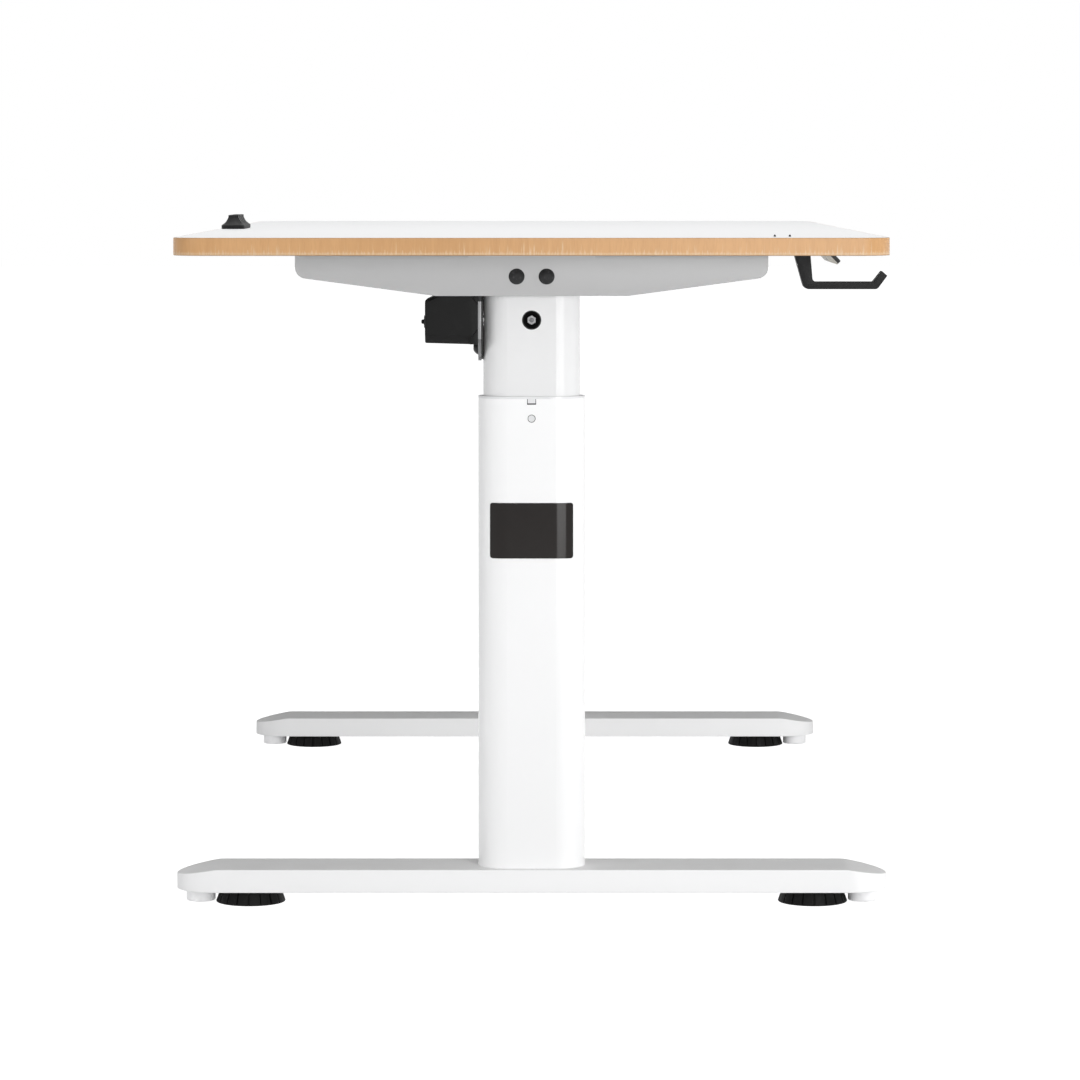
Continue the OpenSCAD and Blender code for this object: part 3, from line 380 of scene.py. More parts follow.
def smooth(thing: Thing, sharp: float) -> Thing:
    """Shades an object smooth.

    Args:
        thing: The object.
        sharp: Angle in degrees over which an edge stays sharp.

    Returns:
        The same object.
    """
    thing.data.shade_smooth()
    thing.data.set_sharp_from_angle(angle=math.radians(sharp))
    return thing


def applied(thing: Thing) -> Thing:
    """Gives an object the mesh that its modifiers make.

    Args:
        thing: The object.

    Returns:
        The same object, without modifiers.
    """
    depsgraph = bpy.context.evaluated_depsgraph_get()
    mesh = bpy.data.meshes.new_from_object(thing.evaluated_get(depsgraph))
    thing.modifiers.clear()
    thing.data = mesh
    return thing


def softened(node: str, radius: float, steps: int = 3) -> Thing:
    """A copy of a CAD node with its points merged and its sharp edges rounded.

    Args:
        node: Name of the node.
        radius: Width of the rounding.
        steps: Segments across the rounding.

    Returns:
        The new piece, its modifier applied.
    """
    name = f"{node}_finished"
    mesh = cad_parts[node].data.copy()
    mesh.materials.clear()
    thing = place(name, merged(mesh, flatten=True))
    bevel = thing.modifiers.new("rounding", "BEVEL")
    bevel.width, bevel.segments = radius, steps
    bevel.limit_method, bevel.angle_limit = "ANGLE", math.radians(32.0)
    bevel.use_clamp_overlap = True
    applied(thing).data.name = name
    return smooth(thing, 30.0)


# --- Shader groups ---


class Graph:
    """A shader node tree, with short calls that add its nodes and join them."""

    def __init__(self, tree: Tree) -> None:
        """Empties the tree that the nodes go into."""
        self.tree = tree
        self.tree.nodes.clear()

    def feed(self, node: bpy.types.Node, sockets: dict[str | int, object]) -> bpy.types.Node:
        """Sets a node's inputs, or joins them.

        Args:
            node: The node.
            sockets: A number, a vector, a colour or a socket to join, by the input's name or number.

        Returns:
            The same node.
        """
        for name, value in sockets.items():
            if isinstance(value, Socket):
                self.tree.links.new(value, node.inputs[name])
            elif node.inputs[name].type == "RGBA":
                node.inputs[name].default_value = (*value, 1.0)
            else:
                node.inputs[name].default_value = value
        return node

    def add(self, kind: str, sockets: dict[str | int, object], **options: object) -> Outputs:
        """Adds a node.

        Args:
            kind: The node's type, without ShaderNode before it.
            sockets: What its inputs are set or joined to, as in feed.
            options: The node's own settings.

        Returns:
            Its outputs.
        """
        node = self.tree.nodes.new(f"ShaderNode{kind}")
        for name, value in options.items():
            setattr(node, name, value)
        return self.feed(node, sockets).outputs

    def maths(self, operation: str, a: object, b: object) -> Socket:
        """Adds a Math node over two sockets or numbers."""
        return self.add("Math", {0: a, 1: b}, operation=operation)[0]


class Effect(Enum):
    """A surface effect that several finishes share, as a shader node group."""

    GRAIN = "surface grain"
    WEAR = "patchy wear"
    DUST = "settled dust"
    BRUSH = "brushed lines"


class EffectGroup(Graph):
    """One effect's node group, with a Vector and float inputs, and float outputs."""

    def __init__(self, effect: Effect, **inputs: float) -> None:
        """Makes the group.

        Args:
            effect: The effect, whose value names the group.
            inputs: The float inputs' defaults, by name.
        """
        super().__init__(bpy.data.node_groups.new(effect.value, "ShaderNodeTree"))
        sockets = self.tree.interface
        sockets.new_socket("Vector", in_out="INPUT", socket_type="NodeSocketVector")
        for name, value in inputs.items():
            sockets.new_socket(name, in_out="INPUT", socket_type="NodeSocketFloat").default_value = value
        self.source = self.tree.nodes.new("NodeGroupInput").outputs

    def noise(self, detail: float, finer: float | None = None) -> Socket:
        """Adds a Noise node, read at the group's Vector and at its Scale.

        Args:
            detail: The noise's octaves.
            finer: What Scale is multiplied by, if anything.

        Returns:
            The noise's value.
        """
        scale = self.source["Scale"]
        if finer is not None:
            scale = self.maths("MULTIPLY", scale, finer)
        sockets = {"Vector": self.source["Vector"], "Scale": scale, "Detail": detail}
        return self.add("TexNoise", sockets)["Fac"]

    def done(self, **outputs: Socket) -> Tree:
        """Adds the group's outputs and joins them.

        Args:
            outputs: What each output gives, by name.

        Returns:
            The group's tree.
        """
        for name in outputs:
            self.tree.interface.new_socket(name, in_out="OUTPUT", socket_type="NodeSocketFloat")
        self.feed(self.tree.nodes.new("NodeGroupOutput"), outputs)
        return self.tree


def grain_group() -> Tree:
    """Fine bumps: a noise at Scale plus Fine of one three times finer, as Height, and slow Mottle.

    Returns:
        The new group.
    """
    group = EffectGroup(Effect.GRAIN, Scale=800.0, Fine=0.35)
    fine = group.maths("MULTIPLY", group.noise(1.0, 3.1), group.source["Fine"])
    return group.done(Height=group.maths("ADD", group.noise(2.0), fine), Mottle=group.noise(3.0, 0.012))


def wear_group() -> Tree:
    """Rubbed patches: a noise over a threshold, broken up by a finer noise.

    Returns:
        The new group.
    """
    group = EffectGroup(Effect.WEAR, Scale=30.0, Threshold=0.62)
    over = group.maths("SUBTRACT", group.noise(6.0), group.source["Threshold"])
    steep = group.maths("MAXIMUM", group.maths("MULTIPLY", over, 9.0), 0.0)
    broken = group.maths("MULTIPLY", steep, group.noise(2.0, 7.0))
    return group.done(Mask=group.maths("MINIMUM", broken, 1.0))


def dust_group() -> Tree:
    """Dust that lies where a surface looks up: the normal's height times a soft noise.

    Returns:
        The new group.
    """
    group = EffectGroup(Effect.DUST, Scale=18.0, Amount=0.2)
    normal = group.add("SeparateXYZ", {0: group.add("NewGeometry", {})["Normal"]})
    soft = group.maths("ADD", group.maths("MULTIPLY", group.noise(5.0), 0.35), 0.325)
    lying = group.maths("MULTIPLY", group.maths("MAXIMUM", normal["Z"], 0.0), soft)
    return group.done(Mask=group.maths("MULTIPLY", lying, group.source["Amount"]))


def brush_group() -> Tree:
    """Fine parallel lines: a noise read on a vector that the material has stretched."""
    group = EffectGroup(Effect.BRUSH, Scale=400.0)
    return group.done(Height=group.noise(4.0), Mottle=group.noise(3.0, 0.05))


@cache
def effect_group(effect: Effect) -> Tree:
    """The node group of an effect, built at its first use."""
    return {Effect.GRAIN: grain_group, Effect.WEAR: wear_group, Effect.DUST: dust_group,
            Effect.BRUSH: brush_group}[effect]()


class Surface(Graph):
    """One material: a Principled shader, and short calls for what feeds it."""

    def __init__(self, name: str) -> None:
        """Makes the material with a Principled shader joined to its output.

        Args:
            name: Name of the material.
        """
        self.material = bpy.data.materials.new(name)
        self.material.use_nodes = True
        super().__init__(self.material.node_tree)
        self.shader = self.tree.nodes.new("ShaderNodeBsdfPrincipled")
        self.add("OutputMaterial", {"Surface": self.shader.outputs[0]})
        self.coordinates = self.add("TexCoord", {})["Object"]

    def effect(self, effect: Effect, stretch: Triple | None = None, **values: float) -> Outputs:
        """Places an effect's group.

        Args:
            effect: The effect.
            stretch: What the object's coordinates are multiplied by along X, Y and Z, if anything.
            values: The group's float inputs.

        Returns:
            The group's outputs.
        """
        vector = self.coordinates
        if stretch is not None:
            vector = self.add("Mapping", {"Vector": vector, "Scale": stretch})[0]
        return self.add("Group", {"Vector": vector, **values}, node_tree=effect_group(effect))

    def ramp(self, value: Socket, *stops: tuple[float, float]) -> Socket:
        """A ramp of greys over a value.

        Args:
            value: What the ramp is read at.
            stops: The place and the grey of each stop.

        Returns:
            The ramp's colour.
        """
        node = self.tree.nodes.new("ShaderNodeValToRGB")
        while len(node.color_ramp.elements) < len(stops):
            node.color_ramp.elements.new(0.5)
        for element, (where, grey) in zip(node.color_ramp.elements, stops):
            element.position = where
            element.color = (grey, grey, grey, 1.0)
        return self.feed(node, {"Fac": value}).outputs["Color"]

    def mix(self, mask: Socket, a: object, b: object) -> Socket:
        """Mixes two colours, each a socket or a colour, by a mask."""
        return self.add("Mix", {"Factor": mask, 6: a, 7: b}, data_type="RGBA")[2]

    def tones(self, mask: Socket, colour: Colour, low: float, high: float) -> Socket:
        """Mixes a colour times low and the same colour times high by a mask."""
        return self.mix(mask, shade(colour, low), shade(colour, high))

    def spread(self, value: Socket, low: float, high: float) -> Socket:
        """Maps a value from 0..1 to low..high."""
        return self.add("MapRange", {"To Min": low, "To Max": high, "Value": value})["Result"]

    def bump(self, height: Socket, strength: float, distance: float) -> Socket:
        """A Bump node over a height, its distance in millimetres."""
        return self.add("Bump", {"Strength": strength, "Distance": distance * MM, "Height": height})[0]

    def done(self, **sockets: object) -> Material:
        """Feeds the shader, an underscore standing for a space, and returns the material."""
        self.feed(self.shader, {name.replace("_", " "): value for name, value in sockets.items()})
        return self.material


def shade(colour: Colour, factor: float) -> Colour:
    """A colour multiplied by a factor, at most 1."""
    return tuple(min(1.0, c * factor) for c in colour)


# --- Finishes ---


@dataclass(frozen=True)
class PowderCoat:
    """Powder coated steel: orange peel, faint mottling, a little dust on top; on the foot the heavy top
    greying is partly painted shade.
    """

    name: str = "white powder coat"
    colour: Colour = (0.90, 0.90, 0.902)
    roughness: float = 0.42
    specular: float = 0.3
    coat: float = 0.45
    dust: float = 0.10
    dust_colour: Colour = (0.47, 0.46, 0.445)

    def material(self) -> Material:
        """Builds the material.

        Returns:
            The new material.
        """
        s = Surface(self.name)
        grain = s.effect(Effect.GRAIN, Scale=520.0, Fine=0.3)
        dust = s.effect(Effect.DUST, Scale=22.0, Amount=self.dust)
        base = s.tones(grain["Mottle"], self.colour, 0.985, 1.01)
        return s.done(Specular_IOR_Level=self.specular, Coat_Weight=self.coat, Coat_Roughness=0.09,
                      Base_Color=s.mix(dust["Mask"], base, self.dust_colour),
                      Roughness=s.spread(grain["Mottle"], self.roughness - 0.05, self.roughness + 0.07),
                      Normal=s.bump(grain["Height"], 0.10, 0.12))


@dataclass(frozen=True)
class MouldedPlastic:
    """Spark eroded plastic: fine pebbles, faint sheen marks and rubbed patches."""

    name: str
    colour: Colour
    roughness: float = 0.48
    pebble: float = 1500.0
    strength: float = 0.22
    dust: float = 0.08
    specular: float = 0.5
    dust_colour: Colour = (0.42, 0.41, 0.39)

    def material(self) -> Material:
        """Builds the material.

        Returns:
            The new material.
        """
        s = Surface(self.name)
        grain = s.effect(Effect.GRAIN, Scale=self.pebble, Fine=0.5)
        wear = s.effect(Effect.WEAR, Scale=60.0, Threshold=0.58)
        dust = s.effect(Effect.DUST, Scale=40.0, Amount=self.dust)
        base = s.mix(wear["Mask"], s.tones(grain["Mottle"], self.colour, 0.9, 1.1), shade(self.colour, 1.35))
        return s.done(Specular_IOR_Level=self.specular,
                      Base_Color=s.mix(dust["Mask"], base, self.dust_colour),
                      Roughness=s.spread(grain["Mottle"], self.roughness - 0.08, self.roughness + 0.08),
                      Normal=s.bump(grain["Height"], self.strength, 0.12))


@dataclass(frozen=True)
class PlatedSteel:
    """Zinc plated or machined steel: brushed lines, cloudy plating, a few scuffs."""

    name: str
    colour: Colour = (0.62, 0.62, 0.63)
    stretch: Triple = (1.0, 1.0, 12.0)
    roughness: float = 0.34

    def material(self) -> Material:
        """Builds the material.

        Returns:
            The new material.
        """
        s = Surface(self.name)
        lines = s.effect(Effect.BRUSH, self.stretch, Scale=260.0)
        cloud = s.effect(Effect.GRAIN, Scale=2600.0, Fine=0.4)
        wear = s.effect(Effect.WEAR, Scale=45.0, Threshold=0.6)
        base = s.tones(cloud["Mottle"], self.colour, 0.9, 1.07)
        return s.done(Base_Color=s.mix(wear["Mask"], base, shade(self.colour, 0.8)), Metallic=1.0,
                      Roughness=s.spread(lines["Height"], self.roughness - 0.09, self.roughness + 0.12),
                      Normal=s.bump(lines["Height"], 0.18, 0.06))


@dataclass(frozen=True)
class DarkSteel:
    """Black oxide screws: dark, oily, with brighter rubbed spots."""

    name: str = "black oxide steel"
    colour: Colour = (0.016, 0.016, 0.0165)
    rubbed: Colour = (0.11, 0.11, 0.115)

    def material(self) -> Material:
        """Builds the material.

        Returns:
            The new material.
        """
        s = Surface(self.name)
        grain = s.effect(Effect.GRAIN, Scale=1900.0, Fine=0.4)
        wear = s.effect(Effect.WEAR, Scale=240.0, Threshold=0.6)
        base = s.tones(grain["Mottle"], self.colour, 0.8, 1.25)
        return s.done(Base_Color=s.mix(wear["Mask"], base, self.rubbed),
                      Metallic=0.2, Specular_IOR_Level=0.25,
                      Roughness=s.spread(wear["Mask"], 0.42, 0.3),
                      Normal=s.bump(grain["Height"], 0.15, 0.08))


@dataclass(frozen=True)
class DesktopLaminate:
    """White melamine: a faint pearl grain and soft wipe marks."""

    name: str = "white laminate"
    colour: Colour = (0.88, 0.885, 0.89)

    def material(self) -> Material:
        """Builds the material.

        Returns:
            The new material.
        """
        s = Surface(self.name)
        grain = s.effect(Effect.GRAIN, Scale=1400.0, Fine=0.6)
        wipes = s.effect(Effect.BRUSH, (1.0, 5.0, 1.0), Scale=9.0)
        return s.done(Base_Color=s.tones(grain["Mottle"], self.colour, 0.99, 1.005),
                      Roughness=s.spread(wipes["Height"], 0.34, 0.5),
                      Normal=s.bump(grain["Height"], 0.06, 0.1))


@dataclass(frozen=True)
class EdgeVeneer:
    """Light wood edge band: slow colour drift, fine upright pores, pale streaks, a ragged lower line, and
    painted shade along its rounded upper and lower edges.

    The streaks stand where a noise along the band crosses its middle value, so they are thin and
    unevenly spaced. Most start at the pale line near the lower edge and end at their own height.
    """

    name: str = "wood edge band"
    dark: Colour = (0.485, 0.252, 0.092)
    light: Colour = (0.64, 0.363, 0.163)
    pale: Colour = (0.68, 0.515, 0.34)
    # rim: painted shade of the band's rounded upper and lower edges
    rim: Colour = (0.32, 0.20, 0.11)

    def material(self) -> Material:
        """Builds the material: drift, broad bands and pores, then streaks, pale lines and the rims' painted
        shade.

        Returns:
            The new material.
        """
        s = Surface(self.name)
        drift = s.effect(Effect.GRAIN, (1.0, 1.0, 0.2), Scale=700.0, Fine=0.2)["Mottle"]
        pores = self.upright(s, 0.10, 620.0)
        broad = self.upright(s, 0.05, 120.0)
        height = self.height(s)
        base = s.mix(drift, self.dark, self.light)
        base = s.mix(s.ramp(broad, (0.42, 0.0), (0.66, 0.5)), base, self.light)
        base = s.mix(s.ramp(pores, (0.36, 0.30), (0.50, 0.0)), base, self.dark)
        streak = s.ramp(self.upright(s, 0.03, 95.0), (0.482, 0.0), (0.497, 1.0), (0.512, 0.0))
        reach = s.maths("SUBTRACT", s.spread(self.upright(s, 0.0, 210.0), -0.55, 1.75), height)
        streak = s.maths("MULTIPLY", streak, s.ramp(reach, (0.0, 0.0), (0.35, 0.7)))
        low = s.ramp(height, (0.05, 0.0), (0.08, 0.32), (0.14, 0.32), (0.2, 0.0))
        jag = s.maths("SUBTRACT", s.spread(self.upright(s, 0.0, 420.0), -0.62, 0.92), height)
        ragged = s.maths("MULTIPLY", s.ramp(jag, (0.0, 0.0), (0.06, 0.5)),
                         s.ramp(height, (0.05, 0.0), (0.08, 1.0)))
        for mask in (streak, low, ragged):
            base = s.mix(mask, base, self.pale)
        # painted shade: the rim colour near the underside and near the top, where the rounded edges turn
        # from the light
        rim_shade = s.ramp(height, (0.02, 1.0), (0.055, 0.0), (0.95, 0.0), (0.985, 0.7))
        return s.done(Base_Color=s.mix(rim_shade, base, self.rim), Coat_Weight=0.12, Coat_Roughness=0.25,
                      Roughness=s.spread(broad, 0.36, 0.52), Normal=s.bump(pores, 0.16, 0.1))

    @staticmethod
    def upright(s: Surface, squeeze: float, scale: float) -> Socket:
        """Lines along Z: brushed lines whose coordinates are squeezed by a factor up the band."""
        return s.effect(Effect.BRUSH, (1.0, 1.0, squeeze), Scale=scale)["Height"]

    @staticmethod
    def height(s: Surface) -> Socket:
        """Height on the band, 0 at the board's underside and 1 at its top."""
        z = s.add("SeparateXYZ", {0: s.coordinates})["Z"]
        return s.add("MapRange", {"Value": z, "From Min": UNDER, "From Max": TOP})["Result"]


@dataclass(frozen=True)
class BoardBacking:
    """Balancing sheet under the board: matt, off white, with a paper's fibres."""

    name: str = "board backing"
    colour: Colour = (0.80, 0.795, 0.78)

    def material(self) -> Material:
        """Builds the material.

        Returns:
            The new material.
        """
        s = Surface(self.name)
        fibres = s.effect(Effect.BRUSH, (1.0, 6.0, 1.0), Scale=300.0)["Height"]
        mottle = s.effect(Effect.GRAIN, Scale=900.0, Fine=0.6)["Mottle"]
        base = s.mix(mottle, shade(self.colour, 0.97), s.tones(fibres, self.colour, 0.94, 1.03))
        return s.done(Base_Color=base, Roughness=s.spread(mottle, 0.62, 0.78),
                      Normal=s.bump(fibres, 0.12, 0.1))


@dataclass(frozen=True)
class MouldedRubber:
    """Black rubber: dull, with bloom and scuffed high spots."""

    name: str = "black rubber"
    colour: Colour = (0.004, 0.004, 0.004)
    scuffed: Colour = (0.013, 0.013, 0.013)

    def material(self) -> Material:
        """Builds the material.

        Returns:
            The new material.
        """
        s = Surface(self.name)
        grain = s.effect(Effect.GRAIN, Scale=1100.0, Fine=0.6)
        wear = s.effect(Effect.WEAR, Scale=90.0, Threshold=0.56)
        return s.done(Base_Color=s.mix(wear["Mask"], self.colour, self.scuffed), Specular_IOR_Level=0.12,
                      Roughness=s.spread(grain["Mottle"], 0.4, 0.6),
                      Normal=s.bump(grain["Height"], 0.25, 0.15))


@dataclass(frozen=True)
class GlossFilm:
    """Blank self adhesive film: dark and smooth, with faint ripples and wipe marks."""

    name: str = "blank dark film"
    colour: Colour = (0.0060, 0.0035, 0.0025)

    def material(self) -> Material:
        """Builds the material.

        Returns:
            The new material.
        """
        s = Surface(self.name)
        ripple = s.effect(Effect.GRAIN, Scale=240.0, Fine=0.1)
        wipes = s.effect(Effect.BRUSH, (1.0, 1.0, 5.0), Scale=60.0)
        return s.done(Base_Color=s.tones(ripple["Mottle"], self.colour, 0.85, 1.2), Specular_IOR_Level=0.28,
                      Roughness=s.spread(wipes["Height"], 0.09, 0.14),
                      Normal=s.bump(ripple["Height"], 0.05, 0.1))


@dataclass(frozen=True)
class CircuitMask:
    """Green solder mask over copper: fine tracks as paler lines."""

    name: str = "solder mask"
    colour: Colour = (0.01, 0.12, 0.04)
    tracks: Colour = (0.04, 0.26, 0.09)

    def material(self) -> Material:
        """Builds the material.

        Returns:
            The new material.
        """
        s = Surface(self.name)
        cells = s.add("TexVoronoi", {"Scale": 160.0, "Vector": s.coordinates}, distance="MANHATTAN",
                      feature="F1")["Distance"]
        base = s.mix(s.ramp(cells, (0.46, 0.0), (0.5, 1.0)), self.colour, self.tracks)
        return s.done(Base_Color=base, Roughness=0.3, Normal=s.bump(cells, 0.2, 0.1))


class Finish(Enum):
    """The finishes of this desk, each with the record's material slot that it stands for."""

    WHITE_STEEL = (PowderCoat(), "white_steel")
    # painted shade: a darker copy of the white powder coat for the sliding tubes, standing for the shade
    # they lie in
    SHADED_INNER_STEEL = (PowderCoat("white powder coat, sliding tube", (0.77, 0.77, 0.773), 0.36), "white_steel")
    # painted light and shade: a brighter copy of the white coat lights the foot's fronts, and its heavy dust
    # greys the tops, partly dust and partly painted shade under the board
    LIT_AND_SHADED_FOOT_STEEL = (PowderCoat("white powder coat, foot", (0.935, 0.935, 0.937), 0.6, 0.04, 0.0, 0.45),
                  "white_steel")
    # painted shade: a grey copy of the white powder coat for the side brackets, standing for the board's
    # shade over them
    SHADED_SHEET_STEEL = (PowderCoat("white powder coat, sheet", (0.47, 0.47, 0.472), 0.5, 0.2, 0.1), "white_steel")
    WHITE_PLASTIC = (MouldedPlastic("white nylon", (0.90, 0.90, 0.905), 0.42, strength=0.12, dust=0.04),
                     "white_plastic")
    # painted shade: a darker copy of the white nylon for the guides, standing for the shade on the collar's
    # boss
    SHADED_GUIDE_PLASTIC = (MouldedPlastic("white nylon guide", (0.74, 0.74, 0.75), 0.42, strength=0.12, dust=0.04),
                     "white_plastic")
    BLACK_PLASTIC = (MouldedPlastic("black moulded plastic", (0.018, 0.018, 0.018), specular=0.25),
                     "black_plastic")
    HOOK_PLASTIC = (MouldedPlastic("dark hook nylon", (0.0095, 0.0095, 0.0098), 0.44, specular=0.14),
                    "black_plastic")
    STRIP_RUBBER = (MouldedPlastic("soft strip silicone", (0.010, 0.010, 0.0105), 0.55, 900.0, 0.3, 0.06,
                                   0.18), "black_plastic")
    # painted shade: near-black for the dark pieces in the guides' gaps, and for the shaft bushes, real black
    # nylon made deeper to paint the shade inside the shaft's hole
    SHADE_BLACK = (MouldedPlastic("deep black nylon, painted shade", (0.0012, 0.0012, 0.0012), 0.6, dust=0.0, specular=0.03),
                  "black_plastic")
    GREY_PLASTIC = (MouldedPlastic("light grey plastic", (0.36, 0.345, 0.31), 0.5, dust=0.05),
                    "grey_plastic")
    KEY_PLASTIC = (MouldedPlastic("key plastic", (0.50, 0.50, 0.51), 0.4, 1800.0, 0.1), "key_plastic")
    MOTOR_BLACK = (MouldedPlastic("satin black casting", (0.0082, 0.0082, 0.0082), 0.36, 700.0, 0.14, 0.02,
                                  0.10), "motor_black")
    PLATED = (PlatedSteel("zinc plated steel"), "bright_steel")
    # painted shade: a darker copy of the zinc plate for the motor plate and the cross shaft, standing for
    # the plate's shade under the bracket and a dimmer reflection on the shaft
    SHADED_PLATED = (PlatedSteel("zinc plate, painted shade", (0.22, 0.22, 0.224), roughness=0.46), "bright_steel")
    MACHINED = (PlatedSteel("machined steel", (0.50, 0.50, 0.51), (12.0, 1.0, 1.0), 0.28), "gear_steel")
    BRONZE = (PlatedSteel("turned bronze", (0.60, 0.39, 0.17), (1.0, 1.0, 14.0), 0.32), "bronze")
    DARK_STEEL = (DarkSteel(), "dark_steel")
    # painted shade: a dull grey disc for the recess at the shaft's centre
    SHAFT_CENTRE_SHADE = (DarkSteel("shaft centre, painted shade", (0.14, 0.14, 0.145)), "dark_steel")
    LAMINATE = (DesktopLaminate(), "laminate")
    EDGE = (EdgeVeneer(), "edge_wood")
    BACKING = (BoardBacking(), "core_board")
    RUBBER = (MouldedRubber(), "pad_rubber")
    FILM = (GlossFilm(), "label_film")
    CIRCUIT = (CircuitMask(), "circuit")


@cache
def material(finish: Finish) -> Material:
    """The material of a finish, built at its first use."""
    return finish.value[0].material()


# --- Sub-assemblies ---


class Assembly:
    """What every sub-assembly shares: how its CAD nodes and its new pieces are dressed."""

    @staticmethod
    def dress(finish: Finish, *names: str) -> None:
        """Gives CAD nodes a finish in place of their own.

        Args:
            finish: The finish.
            names: The nodes' names.
        """
        for name in names:
            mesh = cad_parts[name].data
            mesh.materials.clear()
            mesh.materials.append(material(finish))

    @staticmethod
    def add(thing: Thing, finish: Finish, body: str, *nodes: str) -> None:
        """Dresses a new piece, sets it on its body and lets it stand for CAD nodes.

        Args:
            thing: The piece.
            finish: Its finish.
            body: The CAD body that it moves with.
            nodes: The CAD nodes that it replaces.
        """
        thing.data.materials.clear()
        thing.data.materials.append(material(finish))
        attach(thing, body)
        if nodes:
            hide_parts(*nodes)
        LOG.info("piece %s: %d points", thing.name, len(thing.data.vertices))


@dataclass
class Desktop(Assembly):
    """The board: laminate on top, backing under it, and a band with soft edges round it."""

    length: float = 1500 * MM
    depth: float = DESK_REAR - DESK_FRONT
    corner: float = 35 * MM
    band: float = 1.5 * MM
    edge: float = 0.9 * MM

    def build(self) -> None:
        """Builds the band and dresses the board's nodes."""
        self.dress(Finish.LAMINATE, "top_laminate")
        self.dress(Finish.BACKING, "desktop_core")
        self.dress(Finish.DARK_STEEL, "desktop_screws", "hook_screws")
        self.add(self.edge_band(), Finish.EDGE, "lift", "edge_band")

    def edge_band(self) -> Thing:
        """The band: a strip's round-edged section carried round the board's outline.

        Each point of the section is (distance in from the edge, height), and the outline at
        that distance is the round rectangle with all its sizes less by it.

        Returns:
            The band's piece.
        """
        section = np.concatenate([arc((self.edge, UNDER + self.edge), self.edge, 270, 180, 5),
                                  arc((self.edge, TOP - self.edge), self.edge, 180, 90, 5),
                                  [[self.band, TOP], [self.band, UNDER]]])
        rings = []
        for d, z in section:
            flat = round_rectangle(self.length - 2 * d, self.depth - 2 * d, self.corner - d, 13)
            rings.append(lift(flat, z, Axis.Z))
        return Shell().grid(np.stack(rings), along=True).piece("edge_band_wrap", 50.0)


@dataclass
class Foot(Assembly):
    """One foot: a pressed shell with round ends, sloping noses and soft edges."""

    side: Side
    length: float = 757.4 * MM
    width: float = 81 * MM
    low: float = 14.9 * MM
    high: float = 39.3 * MM
    wall: float = 2.5 * MM
    edge: float = 0.8 * MM
    rim: float = 0.7 * MM
    nose: float = 43 * MM
    drop: float = 7.8 * MM
    blend: float = 0.22 * MM

    def build(self) -> None:
        """Builds the outer and inner skins, joined by the rim at the bottom."""
        skins = np.concatenate([self.skin(self.wall)[::-1], self.skin(0.0)])
        skins[..., 0] += self.side.value * COLUMN_X
        pressing = Shell().grid(skins).piece(f"foot_{self.side.word}_pressing", 40.0)
        self.add(pressing, Finish.LIT_AND_SHADED_FOOT_STEEL, "base", f"foot_{self.side.word}")

    def ring(self, depth: float) -> Points:
        """The foot's plan outline, with points packed where a nose begins.

        Args:
            depth: How far it is moved in.

        Returns:
            Points of shape (n, 2): a straight side, a half circle, and both turned half round.
        """
        half, radius = (self.length - self.width) / 2, self.width / 2 - depth
        bend = self.length / 2 - self.nose
        near = bend + mm([-14, -9, -6, -4, -2.5, -1.2, 0, 1.2])
        straight = np.concatenate([np.linspace(0, bend - 25 * MM, 4), near])
        straight = np.concatenate([-straight[:0:-1], straight])
        right = np.stack([np.full(len(straight), radius), straight], 1)
        end = arc((0, half), radius, 0, 180, 33)
        return np.concatenate([right, end, -right, -end])

    def top(self, y: Points, wall: float) -> Points:
        """Height of a skin's top: the lower of the level top and the nose's slope, blended.

        The blend is -k * log(exp(-a / k) + exp(-b / k)) of the two heights.

        Args:
            y: Places along the foot.
            wall: How far the skin lies inside the outer one.

        Returns:
            A height for each place.
        """
        slope = self.drop / self.nose
        past = np.abs(y) - self.length / 2 + self.nose
        nose = self.high - wall * math.sqrt(1 + slope ** 2) - slope * past
        return -self.blend * np.logaddexp((wall - self.high) / self.blend, -nose / self.blend)

    def skin(self, wall: float) -> Points:
        """Rings of one skin: its lower rim, its side, its rounded edge and the way in to the spine.

        Args:
            wall: How far the skin lies inside the outer one.

        Returns:
            Points of shape (rings, n, 3).
        """
        edge = max(self.edge - wall * 0.4, 0.6 * MM)
        rim = self.rim if wall == 0 else 0.0
        rows = [(wall + rim * (1 - math.sin(t)), 0, rim * (1 - math.cos(t)) + 0.01 * MM * t)
                for t in np.radians([0, 30, 60])]
        rows += [(wall, share, 0) for share in np.linspace(0.05, 1, 4)]
        rows += [(wall + edge * (1 - math.cos(t)), 1, edge * math.sin(t))
                 for t in np.radians(range(18, 91, 18))]
        rows += [(depth, 1, edge) for depth in np.linspace(wall + edge, self.width / 2, 5)[1:]]
        rings = []
        for depth, share, rise in rows:
            flat = self.ring(depth)
            crown = self.top(flat[:, 1], wall) - edge
            rings.append(lift(flat, self.low + (crown - self.low) * share + rise, Axis.Z))
        return np.stack(rings)


